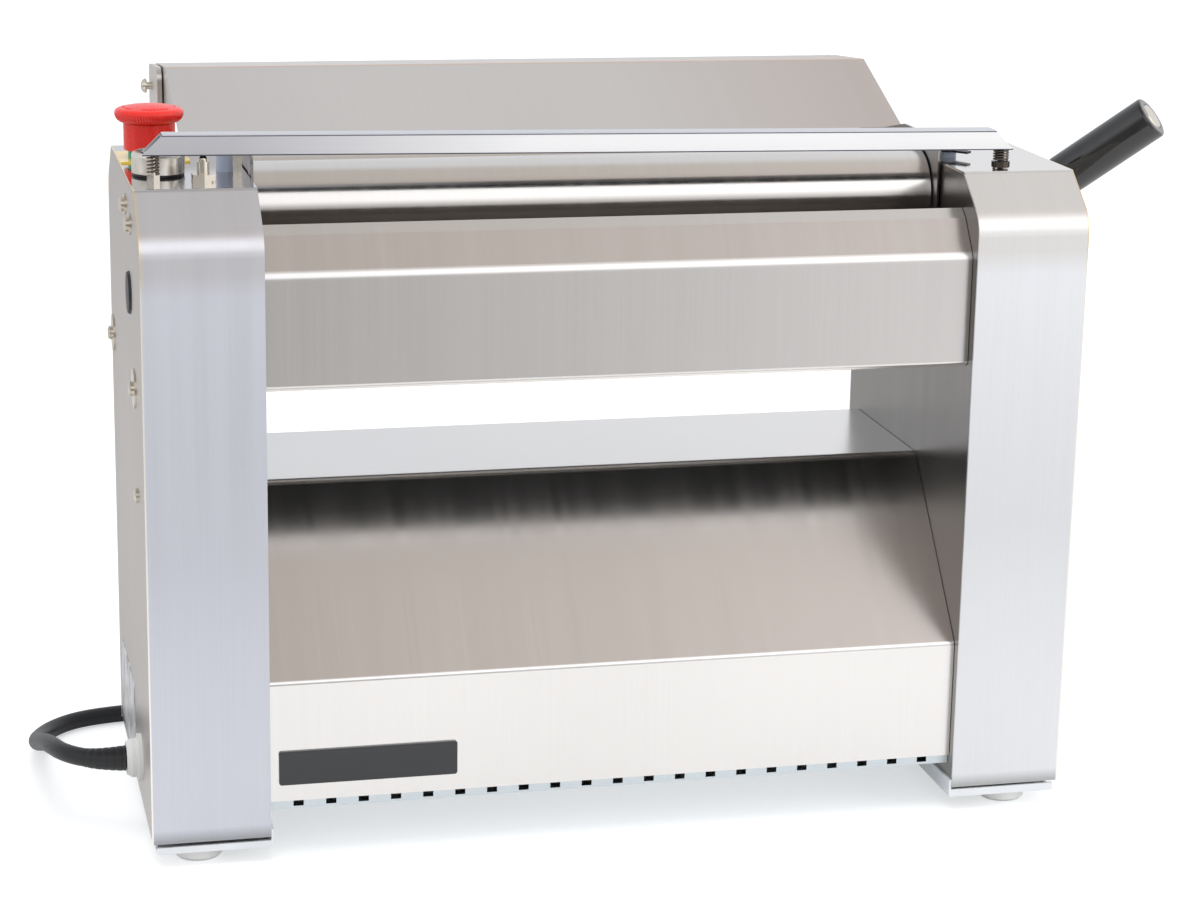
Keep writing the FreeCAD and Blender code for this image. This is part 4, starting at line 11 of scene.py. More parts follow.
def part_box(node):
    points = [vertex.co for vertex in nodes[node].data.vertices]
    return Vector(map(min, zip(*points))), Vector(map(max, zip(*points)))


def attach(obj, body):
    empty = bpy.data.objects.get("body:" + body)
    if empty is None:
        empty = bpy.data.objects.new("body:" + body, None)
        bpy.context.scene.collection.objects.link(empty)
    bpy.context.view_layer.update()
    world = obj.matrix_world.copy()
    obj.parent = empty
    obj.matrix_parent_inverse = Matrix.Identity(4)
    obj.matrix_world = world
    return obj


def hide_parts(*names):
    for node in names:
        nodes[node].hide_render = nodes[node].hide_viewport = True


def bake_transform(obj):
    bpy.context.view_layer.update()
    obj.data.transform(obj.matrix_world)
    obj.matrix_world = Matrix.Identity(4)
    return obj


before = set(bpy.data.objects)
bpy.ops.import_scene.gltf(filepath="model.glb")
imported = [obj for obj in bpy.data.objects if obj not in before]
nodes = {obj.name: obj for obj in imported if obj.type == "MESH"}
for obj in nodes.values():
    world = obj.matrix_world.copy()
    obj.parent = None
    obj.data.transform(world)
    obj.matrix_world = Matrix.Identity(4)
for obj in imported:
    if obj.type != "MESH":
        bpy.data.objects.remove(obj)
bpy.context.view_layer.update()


# Trays and feet
# Each tower stands in a folded white-enamelled tray on two white moulded feet that
# are screwed up from below.

def linear(red, green, blue):
    """Screen colour from 0 to 255 as light: (c / 255) to the power 2.2."""
    return tuple((np.array([red, green, blue]) / 255) ** 2.2)


def scaled(colour, factor):
    """The colour, each part times the factor."""
    return tuple(factor * part for part in colour)


def surface_of(finish):
    """The shader of a finish."""
    return finish.node_tree.nodes["Principled BSDF"]


def start_finish(name, colour, metallic, roughness):
    """A material; returns it with its tree, its shader and the piece's own place."""
    finish = bpy.data.materials.new(name)
    finish.use_nodes = True
    tree = finish.node_tree
    surface = surface_of(finish)
    surface.inputs["Base Color"].default_value = (*colour, 1)
    surface.inputs["Metallic"].default_value = metallic
    surface.inputs["Roughness"].default_value = roughness
    place = tree.nodes.new("ShaderNodeTexCoord").outputs["Object"]
    return finish, tree, surface, place


def grain(tree, place, counts, detail):
    """Noise from 0 to 1 with counts grains per metre along X, Y and Z."""
    stretch = tree.nodes.new("ShaderNodeMapping")
    stretch.inputs["Scale"].default_value = counts
    noise = tree.nodes.new("ShaderNodeTexNoise")
    noise.inputs["Scale"].default_value = 1
    noise.inputs["Detail"].default_value = detail
    tree.links.new(place, stretch.inputs["Vector"])
    tree.links.new(stretch.outputs["Vector"], noise.inputs["Vector"])
    return noise.outputs["Fac"]


def ranged(tree, value, low, high, bottom, top):
    """value from low..high carried in a straight line to bottom..top, and held at both ends."""
    node = tree.nodes.new("ShaderNodeMapRange")
    for key, number in zip(("From Min", "From Max", "To Min", "To Max"), (low, high, bottom, top)):
        node.inputs[key].default_value = number
    tree.links.new(value, node.inputs["Value"])
    return node.outputs["Result"]


def tinted(tree, factor, first, second, blend="MIX"):
    """Colour from first to second by factor, or with MULTIPLY first times second; each is a
    colour or a socket."""
    node = tree.nodes.new("ShaderNodeMix")
    node.data_type = "RGBA"
    node.blend_type = blend
    if isinstance(factor, float):
        node.inputs["Factor"].default_value = factor
    else:
        tree.links.new(factor, node.inputs["Factor"])
    for key, colour in (("A", first), ("B", second)):
        socket = [s for s in node.inputs if s.name == key and s.type == "RGBA"][0]
        if isinstance(colour, tuple):
            socket.default_value = (*colour, 1)
        else:
            tree.links.new(colour, socket)
    return [s for s in node.outputs if s.type == "RGBA"][0]


def press(tree, surface, height, distance, strength):
    """Relief on the surface from a height between 0 and 1, distance metres deep."""
    bump = tree.nodes.new("ShaderNodeBump")
    bump.inputs["Distance"].default_value = distance
    bump.inputs["Strength"].default_value = strength
    tree.links.new(height, bump.inputs["Height"])
    tree.links.new(bump.outputs["Normal"], surface.inputs["Normal"])


def moulded(name, colour, roughness, counts=420, depth=0.00004):
    """Moulded plastic: an even colour with a fine texture from the mould, counts grains to the
    metre and depth metres deep."""
    finish, tree, surface, place = start_finish(name, colour, 0, roughness)
    fine = grain(tree, place, (counts, counts, counts), 3)
    soft = grain(tree, place, (25, 25, 25), 2)
    tree.links.new(tinted(tree, ranged(tree, soft, 0.3, 0.7, 0, 1),
                          scaled(colour, 0.93), scaled(colour, 1.05)),
                   surface.inputs["Base Color"])
    tree.links.new(ranged(tree, fine, 0.3, 0.7, roughness - 0.05, roughness + 0.07),
                   surface.inputs["Roughness"])
    press(tree, surface, fine, depth, 0.4)
    return finish


def wear(finish, *names):
    """These CAD pieces take the finish."""
    for name in names:
        mesh = nodes[name].data
        mesh.materials.clear()
        mesh.materials.append(finish)


def merged(mesh):
    """Open copy of a mesh with its doubles merged."""
    work = bmesh.new()
    work.from_mesh(mesh)
    bmesh.ops.remove_doubles(work, verts=work.verts, dist=1e-6)
    return work


def piece_of(work, name, finish, smooth=35):
    """The open mesh work as a shown piece: outward faces, smooth up to the angle smooth."""
    bmesh.ops.recalc_face_normals(work, faces=work.faces)
    mesh = bpy.data.meshes.new(name)
    work.to_mesh(mesh)
    work.free()
    mesh.polygons.foreach_set("use_smooth", [True] * len(mesh.polygons))
    mesh.set_sharp_from_angle(angle=math.radians(smooth))
    mesh.materials.append(finish)
    piece = bpy.data.objects.new(name, mesh)
    bpy.context.scene.collection.objects.link(piece)
    return piece


def skin(name, grid, finish, smooth=35):
    """Piece over a grid of points (rows, columns, 3), each row of which is a closed ring."""
    rows, columns = grid.shape[:2]
    row = np.arange(rows - 1)[:, None]
    column = np.arange(columns)[None, :]
    after = (column + 1) % columns
    corners = (row * columns + column, row * columns + after,
               (row + 1) * columns + after, (row + 1) * columns + column)
    quads = np.stack([np.broadcast_to(c, (rows - 1, columns)) for c in corners], -1)
    mesh = bpy.data.meshes.new(name + "_grid")
    mesh.from_pydata(grid.reshape(-1, 3).tolist(), [], quads.reshape(-1, 4).tolist())
    return piece_of(merged(mesh), name, finish, smooth)


def strip_grid(line, start, end, thickness, columns):
    """Flat band along X from start to end: the line in Y and Z, joined to the same line a
    thickness lower; at both ends the two lines meet."""
    line = np.array(line)
    loop = np.concatenate([line, line[::-1] - (0, thickness)])
    closed = np.concatenate([line, line[::-1]])
    along = np.linspace(start, end, columns)
    rings = [(along[0], closed)] + [(x, loop) for x in along] + [(along[-1], closed)]
    return np.array([np.column_stack([np.full(len(ring), x), ring]) for x, ring in rings])


tray_white = moulded("tray_white", linear(242, 245, 248), 0.35, 300, 0.00002)
foot_white = moulded("foot_white", linear(250, 250, 247), 0.45)
wear(tray_white, "base_trays")
wear(foot_white, "feet")

# Each tray's front edge turns up to just under the cover.
edge_outside = -0.18755
edge_inside = -0.1860
edge_bottom = 0.0087
for name, start, end, edge_top in (("left_tray_front", -0.3051, -0.2382, 0.0126),
                                   ("right_tray_front", 0.1730, 0.2398, 0.0134)):
    top_line = [(edge_outside, edge_top), (edge_inside, edge_top)]
    turned_up = skin(name, strip_grid(top_line, start, end, edge_top - edge_bottom, 2), tray_white)
    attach(turned_up, "machine_frame")


# Frame plates, cheeks, tie bars and dough guides
# Zinc-plated plates and turned bars carry the load; the thin stainless cheeks and
# the bent guides beside the rollers are what shows between the towers.

def varied(tree, noise, low, high, colour, amount):
    """The colour, from darker to lighter by the amount as the noise goes from low to high."""
    return tinted(tree, ranged(tree, noise, low, high, 0, 1),
                  scaled(colour, 1 - amount), scaled(colour, 1 + amount))


def brushed(name, colour, roughness, across, streak=0.05, cloud=0.03, stretch=0.5):
    """Ground steel: lines that change only across the named axes, 1000 and 140 to the metre,
    under soft clouds; a reflection is wider across the lines than along them."""
    finish, tree, surface, place = start_finish(name, colour, 1, roughness)
    if stretch:
        surface.inputs["Anisotropic"].default_value = stretch
        cross = tree.nodes.new("ShaderNodeCombineXYZ")
        cross.inputs[across].default_value = 1
        tree.links.new(cross.outputs["Vector"], surface.inputs["Tangent"])
    fine = grain(tree, place, [1000 if axis in across else 9 for axis in "XYZ"], 2)
    wide = grain(tree, place, [140 if axis in across else 3 for axis in "XYZ"], 2)
    soft = grain(tree, place, (5, 5, 4), 1)
    streaked = varied(tree, fine, 0.25, 0.75, colour, streak)
    banded = varied(tree, wide, 0.3, 0.7, colour, streak / 2)
    clouded = varied(tree, soft, 0.35, 0.65, colour, cloud)
    tree.links.new(tinted(tree, 0.5, tinted(tree, 0.4, streaked, banded), clouded),
                   surface.inputs["Base Color"])
    tree.links.new(ranged(tree, wide, 0.3, 0.7, roughness - 0.02, roughness + 0.03),
                   surface.inputs["Roughness"])
    press(tree, surface, fine, 0.00001, 0.25)
    return finish


zinc_plate = brushed("zinc_plate", linear(176, 178, 180), 0.38, "Y")
turned_bar = brushed("turned_bar", linear(180, 180, 182), 0.28, "X")
cheek_steel = brushed("cheek_steel", linear(164, 161, 159), 0.3, "Y")
# The inner cheeks wear a darker copy of the cheek steel: painted shade between the towers.
shaded_inner_cheek_steel = brushed("shaded_inner_cheek_steel", linear(148, 145, 142), 0.3, "Y")
wear(zinc_plate, "frame_plates", "axle_bracket")
wear(turned_bar, "tie_bars", "idler_pin")
wear(cheek_steel, "dough_guides")
wear(shaded_inner_cheek_steel, "inner_cheeks")

# The guides' top edge falls towards the rear: the outline is cut along a sloping plane.
slope_point = (0, 0.002, 0.389)
slope_normal = (0, 0.012, 0.058)
work = merged(nodes["dough_guides"].data)
bmesh.ops.bisect_plane(work, geom=[*work.verts, *work.edges, *work.faces],
                       plane_co=slope_point, plane_no=slope_normal, clear_outer=True)
bmesh.ops.holes_fill(work, edges=[edge for edge in work.edges if edge.is_boundary])
guides = piece_of(work, "sloped_guides", cheek_steel)
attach(guides, "machine_frame")
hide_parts("dough_guides")


# Motor, reducer and chain
# The drive hangs from the left frame plate: a cast motor and worm reducer, and an
# oiled roller chain over four steel sprockets inside the left tower.

cast_grey = moulded("cast_grey", linear(150, 153, 158), 0.5, 260, 0.0001)
surface_of(cast_grey).inputs["Metallic"].default_value = 0.6
oiled_steel = brushed("oiled_steel", linear(120, 117, 112), 0.3, "Y")
surface_of(oiled_steel).inputs["Coat Weight"].default_value = 0.25
wear(cast_grey, "drive_motor", "gear_reducer")
wear(oiled_steel, "drive_chain", "front_sprocket", "rear_sprocket", "idler_sprocket",
     "output_sprocket")


# Rollers and their bearings
# Ground and polished tubes with turned plugs and journals; bronze bushes behind, an
# eccentric axle in front, and spring scrapers below that peel the dough off.

roller_steel = brushed("roller_steel", linear(222, 218, 214), 0.2, "X", 0.05, 0.02)
journal_steel = brushed("journal_steel", linear(188, 187, 186), 0.25, "X")
bush_bronze = brushed("bush_bronze", linear(196, 160, 96), 0.3, "X")
wear(roller_steel, "front_roller", "rear_roller")
wear(journal_steel, "front_roller_ends", "rear_roller_ends", "eccentric_axle")
wear(bush_bronze, "rear_bushes")
wear(cheek_steel, "scrapers")


# Panels between the towers
# Folded stainless sheets, ground from top to bottom, with rounded bends that catch
# the light; the slotted vent plate closes the lower housing underneath.

def axes_of(tree, kind="Object"):
    """X, Y and Z of the piece's own place, or of another kind of texture coordinate."""
    split = tree.nodes.new("ShaderNodeSeparateXYZ")
    tree.links.new(tree.nodes.new("ShaderNodeTexCoord").outputs[kind], split.inputs["Vector"])
    return split.outputs


def colour_of(finish):
    """What gives the finish its colour so far."""
    return surface_of(finish).inputs["Base Color"].links[0].from_socket


def facing(tree, sign, away, towards):
    """away where the normal's Y times sign is under 0.15, and towards where it is over 0.3."""
    return ranged(tree, axes_of(tree, "Normal")["Y"], 0.15 * sign, 0.3 * sign, away, towards)


def paint_shade_inside(finish, sign, shade, top=0.5):
    """The faces whose normal points to sign Y, the inside of the fold, are painted the shade
    colour below the height top, which by default is over the whole machine: painted shade."""
    tree = finish.node_tree
    outside = colour_of(finish)
    dark = tinted(tree, facing(tree, sign, 0, 1), outside, shade)
    below = ranged(tree, axes_of(tree)["Z"], top, top + 0.003, 1, 0)
    tree.links.new(tinted(tree, below, outside, dark), surface_of(finish).inputs["Base Color"])


panel_steel = brushed("panel_steel", linear(231, 228, 225), 0.2, "X", 0.04, 0.03)
front_panel_steel = brushed("front_panel_steel", linear(225, 222, 219), 0.2, "X", 0.04, 0.03)
rear_panel_steel = brushed("rear_panel_steel", linear(225, 222, 219), 0.2, "X", 0.04, 0.03)
vent_zinc = brushed("vent_zinc", linear(206, 214, 218), 0.34, "X")
# Below this height the rear panel's inside is painted near black: painted shade between the
# rollers and the housing.
rear_shadow_top = 0.366
paint_shade_inside(rear_panel_steel, -1, linear(30, 30, 30), rear_shadow_top)

# The front panel is matt inside and painted a darker warm grey there, painted shade, which
# the front roller mirrors as an even grey.
paint_shade_inside(front_panel_steel, 1, linear(190, 180, 172))
tree = front_panel_steel.node_tree
tree.links.new(facing(tree, 1, 1, 0), surface_of(front_panel_steel).inputs["Metallic"])

wear(panel_steel, "lower_housing")
wear(front_panel_steel, "upper_front_panel")
wear(rear_panel_steel, "upper_rear_panel")
wear(vent_zinc, "vent_plate")


# Name badge
# A blank plate of black resin with a slightly domed face and rounded corners, stuck
# on the lower housing at the left.

def badge_grid(low, high):
    """Rings of a rounded rectangle, from the plate's wall over its rim to the middle of its
    dome, between the box corners low and high. Up to an inset of 0.2 each side moves in by the
    inset times 2 mm, and further in the outline shrinks evenly to a point; front is how far the
    ring stands out, where 1 is the end of the rim."""
    corner = 0.0016
    rim_step = 0.002
    rim_depth = 0.92
    middle = (low + high) / 2
    half = (high - low)[[0, 2]] / 2
    turn = np.linspace(0, 2 * np.pi, 64, endpoint=False) + np.pi / 64
    arc = corner * np.stack([np.cos(turn), np.sin(turn)], -1)
    side = np.sign(arc) * (half - corner)
    rings = []
    for inset, front in ((0, 0), (0, 0.7), (0.02, 0.86), (0.08, 0.95), (0.2, 1), (0.6, 1.06),
                         (1, 1.08)):
        if inset > 0.2:
            outline = (side + arc) * (1 - inset)
        else:
            outline = side + arc * (1 - inset) - np.sign(side) * rim_step * inset
        y = np.full(turn.size, high[1] - front * (high[1] - low[1]) * rim_depth)
        rings.append(np.stack([outline[:, 0] + middle[0], y, outline[:, 1] + middle[2]], -1))
    return np.array(rings)


badge_black, tree, surface, place = start_finish("badge_black", linear(22, 24, 30), 0, 0.12)
surface.inputs["Coat Weight"].default_value = 0.6
tree.links.new(ranged(tree, grain(tree, place, (300, 300, 300), 2), 0.3, 0.7, 0.09, 0.17),
               surface.inputs["Roughness"])
low, high = (np.array(corner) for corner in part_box("badge"))
badge = skin("badge_plate", badge_grid(low, high), badge_black)
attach(badge, "machine_frame")
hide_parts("badge")


# Shade apron
# A thin black rubber strip under the front panel's lower flange, reaching back to the
# front scraper: a dark sheet put where there is only shade, so that the housing's bend mirrors
# black.

shade_apron_black = moulded("shade_apron_black", linear(24, 24, 25), 0.7, 300, 0.00003)
apron_line = [(-0.1680, 0.27515), (-0.1574, 0.27515), (-0.1540, 0.2760), (-0.1160, 0.2975),
              (-0.1115, 0.2990)]
apron_left = -0.2376
apron_right = 0.1724
apron_thickness = 0.0008
apron = skin("shade_apron", strip_grid(apron_line, apron_left, apron_right, apron_thickness, 9),
             shade_apron_black)
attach(apron, "machine_frame")


# Towers
# Each tower is a bent stainless cover over two side plates; the covers are ground
# from top to bottom, and their flat tops keep the mill's mirror.

# Heights between which a cover's finish changes: the front is painted darker downwards and the
# slant and the level top greyer, all painted shade; the level top is also smoother, and the foot
# has a look of its own.
front_fade = (0.32, 0.18)
foot_band = (0.0162, 0.0230)
slant_bend = (0.332, 0.345)
top_bend = (0.3855, 0.3868)


def product_of(tree, first, second):
    """One value times another."""
    node = tree.nodes.new("ShaderNodeMath")
    node.operation = "MULTIPLY"
    tree.links.new(first, node.inputs[0])
    tree.links.new(second, node.inputs[1])
    return node.outputs[0]


def cover_finish(name, front, edge):
    """Ground sheet with painted shade, darker down the front and greyer on the slant and top; dull
    along the foot, smooth on the level top, and straw-coloured at the laser-cut edge, which is at
    X = edge."""
    finish = brushed(name, front, 0.44, "X", 0.05, 0.03)
    tree = finish.node_tree
    surface = surface_of(finish)
    axes = axes_of(tree)
    height = axes["Z"]
    slant = ranged(tree, height, *slant_bend, 0, 1)
    level = ranged(tree, height, top_bend[0] + 0.0005, top_bend[1], 0, 1)
    # Painted shade: the front darker downwards, the slant and the level top greyer.
    colour = tinted(tree, ranged(tree, height, *front_fade, 0, 1), colour_of(finish),
                    (0.80, 0.80, 0.80), "MULTIPLY")
    colour = tinted(tree, slant, colour, (0.90, 0.875, 0.83), "MULTIPLY")
    colour = tinted(tree, level, colour, (0.84, 0.83, 0.82), "MULTIPLY")
    colour = tinted(tree, ranged(tree, height, *foot_band, 1, 0), colour,
                    (0.60, 0.60, 0.58), "MULTIPLY")
    straw = tinted(tree, slant, linear(250, 246, 238), linear(236, 218, 184))
    side = math.copysign(1, edge)
    cut = ranged(tree, axes["X"], edge - 0.0010 * side, edge - 0.0006 * side, 0, 1)
    tree.links.new(tinted(tree, cut, colour, straw), surface.inputs["Base Color"])
    ground = surface.inputs["Roughness"].links[0].from_socket
    tree.links.new(product_of(tree, ground, ranged(tree, height, *top_bend, 1, 0.2)),
                   surface.inputs["Roughness"])
    return finish


# The two covers are one steel in two tones: the left darker and bluer, painted shade, and the
# right lighter, painted light.
left_cover_shaded_steel = cover_finish("left_cover_shaded_steel", linear(229, 231, 240), -0.3076)
right_cover_lit_steel = cover_finish("right_cover_lit_steel", linear(248, 249, 252), 0.2424)
plate_steel = brushed("plate_steel", linear(196, 191, 186), 0.34, "Y", 0.05, 0.04)
wear(left_cover_shaded_steel, "left_cover")
wear(right_cover_lit_steel, "right_cover")
wear(plate_steel, "left_outer_plate", "right_outer_plate")


# Side screws, hole plug and rating plate
# Polished cap screws with washers hold the side plates; a black plug closes the
# service hole, and a blank foil label sits low on the left.

def polished(name, colour, roughness, counts=900):
    """Plated steel: bright, with faint turning marks, counts of them to the metre."""
    finish, tree, surface, place = start_finish(name, colour, 1, roughness)
    fine = grain(tree, place, (counts, counts, counts), 2)
    tree.links.new(ranged(tree, fine, 0.3, 0.7, roughness * 0.7, roughness * 1.5),
                   surface.inputs["Roughness"])
    tree.links.new(tinted(tree, fine, scaled(colour, 0.93), scaled(colour, 1.04)),
                   surface.inputs["Base Color"])
    press(tree, surface, fine, 0.00001, 0.3)
    return finish


bright_nickel = polished("bright_nickel", linear(212, 204, 190), 0.16)
black_moulded = moulded("black_moulded", linear(30, 31, 34), 0.42)
foil_label, tree, surface, place = start_finish("foil_label", linear(214, 216, 218), 0.35, 0.35)
crease = grain(tree, place, (150, 120, 70), 4)
tree.links.new(tinted(tree, ranged(tree, crease, 0.35, 0.65, 0, 1), linear(176, 178, 180),
                      linear(236, 238, 240)), surface.inputs["Base Color"])
press(tree, surface, crease, 0.002, 0.8)
wear(bright_nickel, "side_screws")
wear(black_moulded, "hole_plug")
wear(foil_label, "rating_plate")


# Thickness lever
# A steel hub on the eccentric axle takes a threaded stud; the black phenolic grip is
# pushed over it and held by a bright cap screw in its flat end.

phenolic, tree, surface, place = start_finish("phenolic", linear(16, 16, 18), 0, 0.14)
haze = grain(tree, place, (60, 60, 60), 3)
tree.links.new(tinted(tree, ranged(tree, haze, 0.35, 0.65, 0, 1), linear(12, 12, 14),
                      linear(30, 28, 26)), surface.inputs["Base Color"])
tree.links.new(ranged(tree, haze, 0.3, 0.7, 0.12, 0.22), surface.inputs["Roughness"])
surface.inputs["Coat Weight"].default_value = 0.6
wear(bright_nickel, "lever_hub", "lever_stud")
wear(phenolic, "lever_grip")


# Stop button
# A red mushroom head turned to release, on a red stem with a green ring, over the
# yellow plate that marks it on the tower top.

def button_head(centre, bottom):
    """Mushroom turned from its profile: the crown falls with the square of the radius, below
    the rim the radius falls 0.5 mm in 72 ribs, and round the top 0.9 mm is sunk along four
    arcs, a bell across each arc's width. Each arc reaches 33 degrees to both sides of its
    middle, the first at 10 degrees."""
    rim_edge = (0.0174, 0.0084)
    crown = 0.0105
    ribs = 72
    rib_depth = 0.0005
    arc_depth = 0.0009
    arc_radius = 0.0150
    first_arc = 10
    arc_half = 33
    rim = [(0, 0), (0.0146, 0), (0.0160, 0.0002), (0.0174, 0.0008), (0.0186, 0.0018),
           (0.0194, 0.0030), (0.0199, 0.0043), (0.0200, 0.0055), (0.0198, 0.0066),
           (0.0192, 0.0075), (0.0183, 0.0081), rim_edge]
    over_arcs = np.arange(0.0171, 0.0126, -0.00032)
    middle = np.linspace(0.0122, 0, 8)
    top = np.concatenate([over_arcs, middle])
    fall = (crown - rim_edge[1]) * (top / rim_edge[0]) ** 2
    profile = np.array(rim + list(zip(top, crown - fall)))
    radius = profile[:, :1]
    height = profile[:, 1:]
    angle = np.linspace(0, 2 * np.pi, 4 * ribs, endpoint=False)
    below_rim = (radius > 0.017) * np.exp(-((height - 0.0030) / 0.0024) ** 4)
    turned = radius - rib_depth * (0.5 - 0.5 * np.cos(ribs * angle)) * below_rim
    swing = np.abs((np.degrees(angle) - first_arc + 45) % 90 - 45)
    bell = (height > rim_edge[1]) * np.exp(-((radius - arc_radius) / 0.0006) ** 2)
    sunk = arc_depth * bell * np.clip((arc_half - swing) / 5, 0, 1)
    return np.stack([centre[0] + turned * np.cos(angle), centre[1] + turned * np.sin(angle),
                     bottom + height - sunk], -1)


red_plastic = moulded("red_plastic", linear(224, 40, 30), 0.24, 500, 0.00001)
surface_of(red_plastic).inputs["Subsurface Weight"].default_value = 0.08
green_plastic = moulded("green_plastic", linear(22, 158, 120), 0.3, 500, 0.00001)
yellow_plate = moulded("yellow_plate", linear(240, 208, 84), 0.16)
surface_of(yellow_plate).inputs["Coat Weight"].default_value = 0.5
low, high = (np.array(corner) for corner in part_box("estop_head"))
head = skin("stop_mushroom", button_head((low + high) / 2, low[2]), red_plastic, 50)
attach(head, "stop_head")
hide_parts("estop_head")
wear(red_plastic, "estop_stem")
wear(green_plastic, "estop_collar")
wear(yellow_plate, "estop_plate")


# Start button and contact blocks
# A black cap in a polished bezel with a shouldered rim on a black seal, screwed
# through the tower top to the contact blocks below.

def rounded(corners, radii, steps=6):
    """Profile whose corners are arcs: each corner gives way to points of the quadratic curve
    between two points at its radius from it."""
    corners = np.array(corners, float)
    line = [corners[0]]
    for before, corner, after, radius in zip(corners, corners[1:], corners[2:], radii):
        back = (before - corner) / np.linalg.norm(before - corner)
        ahead = (after - corner) / np.linalg.norm(after - corner)
        t = np.linspace(0, 1, steps)[:, None]
        start = corner + back * radius
        end = corner + ahead * radius
        line += list((1 - t) ** 2 * start + 2 * t * (1 - t) * corner + t ** 2 * end)
    line.append(corners[-1])
    return np.array(line)


def turned_skin(name, profile, base, finish):
    """Surface of revolution: each (radius, height) of the profile carried round an upright axis
    through the base."""
    angle = np.linspace(0, 2 * np.pi, 96, endpoint=False)
    ring = np.stack([np.cos(angle), np.sin(angle), np.zeros(angle.size)], -1)
    upright = np.array((0, 0, 1))
    grid = base + profile[:, 0, None, None] * ring + profile[:, 1, None, None] * upright
    return skin(name, grid, finish)


low, high = (np.array(corner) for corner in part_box("start_bezel"))
bezel_base = np.array([*(low + high)[:2] / 2, low[2]])
bezel_height = high[2] - low[2]
seal_top = 0.0015
bezel_profile = rounded(
    [(0.0123, seal_top), (0.0150, seal_top), (0.0150, bezel_height), (0.0125, bezel_height),
     (0.0125, seal_top + 0.0003), (0.0123, seal_top)],
    [0.0003, 0.0030, 0.0006, 0.0002])
seal_profile = rounded(
    [(0.0112, 0), (0.0147, 0), (0.0147, seal_top), (0.0112, seal_top), (0.0112, 0)],
    [0.0006, 0.0006, 0.0002])
bezel_nickel = polished("bezel_nickel", linear(226, 221, 211), 0.3, 120)
bezel = turned_skin("bezel_ring", bezel_profile, bezel_base, bezel_nickel)
seal = turned_skin("bezel_seal", seal_profile, bezel_base, black_moulded)
for ring in (bezel, seal):
    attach(ring, "machine_frame")
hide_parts("start_bezel")
button_black = moulded("button_black", linear(26, 27, 30), 0.25, 500, 0.00001)
wear(button_black, "start_button")
wear(black_moulded, "contact_blocks")


# Interlock switch
# A nickel-plated plunger under the safety bar, in a threaded barrel with nut and washers
# that clamp it in the tower top; the plunger is dark at its upper end.

def weighed(tree, value, weight, extra):
    """value times the weight, plus extra."""
    node = tree.nodes.new("ShaderNodeMath")
    node.operation = "MULTIPLY_ADD"
    tree.links.new(value, node.inputs[0])
    node.inputs[1].default_value = weight
    tree.links.new(extra, node.inputs[2])
    return node.outputs[0]


def stained(finish, axis, start, end, colour, tilt=0):
    """The finish turns to the colour along an axis, from start to end; the axis is measured
    from a plane that leans by tilt per metre of X."""
    tree = finish.node_tree
    axes = axes_of(tree)
    turn = ranged(tree, weighed(tree, axes["X"], tilt, axes[axis]), start, end, 0, 1)
    tree.links.new(tinted(tree, turn, colour_of(finish), colour),
                   surface_of(finish).inputs["Base Color"])


plunger_nickel = polished("plunger_nickel", linear(206, 196, 180), 0.12)
stained(plunger_nickel, "Z", 0.4003, 0.4008, linear(52, 46, 42))
wear(bright_nickel, "switch_barrel")
wear(plunger_nickel, "switch_plunger")


# Safety bar
# A folded aluminium channel with mitred ends that rides on nylon posts and springs;
# pressing it works the switch.

bar_aluminium = brushed("bar_aluminium", linear(255, 255, 255), 0.5, "YZ", 0.06, 0.01, 0)
# Painted shade: the channel's inside faces are darker, and the bar greys towards its left end.
paint_shade_inside(bar_aluminium, 1, linear(96, 93, 90))
stained(bar_aluminium, "X", -0.08, -0.25, linear(206, 206, 210))

# The bar leans a little along X, and its bends lean with it: dark lines of painted shade run
# along the front's upper and lower edges, with a bright one over the upper bend.
bar_tilt = 0.01208
for start, end, shade in ((0.4097, 0.4099, (112, 114, 126)),
                          (0.4104, 0.4106, (228, 229, 233)),
                          (0.3999, 0.3997, (96, 98, 106))):
    stained(bar_aluminium, "Z", start, end, linear(*shade), bar_tilt)
blue_nylon, tree, surface, place = start_finish("blue_nylon", linear(206, 217, 234), 0, 0.25)
surface.inputs["Subsurface Weight"].default_value = 0.5
surface.inputs["Subsurface Radius"].default_value = (0.002, 0.003, 0.004)
tree.links.new(tinted(tree, grain(tree, place, (60, 60, 60), 2), linear(196, 208, 228),
                      linear(214, 224, 240)), surface.inputs["Base Color"])
spring_wire = polished("spring_wire", linear(116, 106, 97), 0.2)
seat_nickel = polished("seat_nickel", linear(206, 200, 188), 0.18)
stained(seat_nickel, "X", 0.19, 0.20, linear(84, 78, 72))
wear(bar_aluminium, "safety_bar")
wear(blue_nylon, "bar_guide_posts")
wear(bright_nickel, "post_screws")
wear(seat_nickel, "bar_fasteners")
wear(black_moulded, "post_keepers")

# Each spring is a smooth copy of its coil, with its doubles merged, in place of the CAD piece.
for node in ("bar_spring_left", "bar_spring_right"):
    low, high = (Vector(corner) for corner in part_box(node))
    coil = piece_of(merged(nodes[node].data), node.replace("bar_spring", "bar_coil"), spring_wire,
                    50)
    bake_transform(coil)
    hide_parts(node)


# Infeed chute
# A folded stainless hopper floor between two arms, hung on shoulder screws at the
# rear so that it lifts for cleaning; the floor is painted browner at the right and at its
# bend, painted shade.

chute_steel = brushed("chute_steel", linear(214, 209, 203), 0.33, "X", 0.03, 0.05)
floor_steel = brushed("floor_steel", linear(214, 208, 202), 0.33, "X", 0.03, 0.05)
# Painted shade: the floor browner towards the right and over its bend.
stained(floor_steel, "X", 0.02, 0.19, linear(198, 186, 178))
stained(floor_steel, "Z", 0.4198, 0.4203, linear(222, 190, 170))
wear(floor_steel, "infeed_chute")
wear(chute_steel, "chute_arms")
wear(bright_nickel, "chute_pivot_screws")


# Mains lead
# 1.8 m of round rubber cable: it leaves the left side low down, bends back round the
# tower and lies behind it in a two-layer coil that ends in a moulded plug.

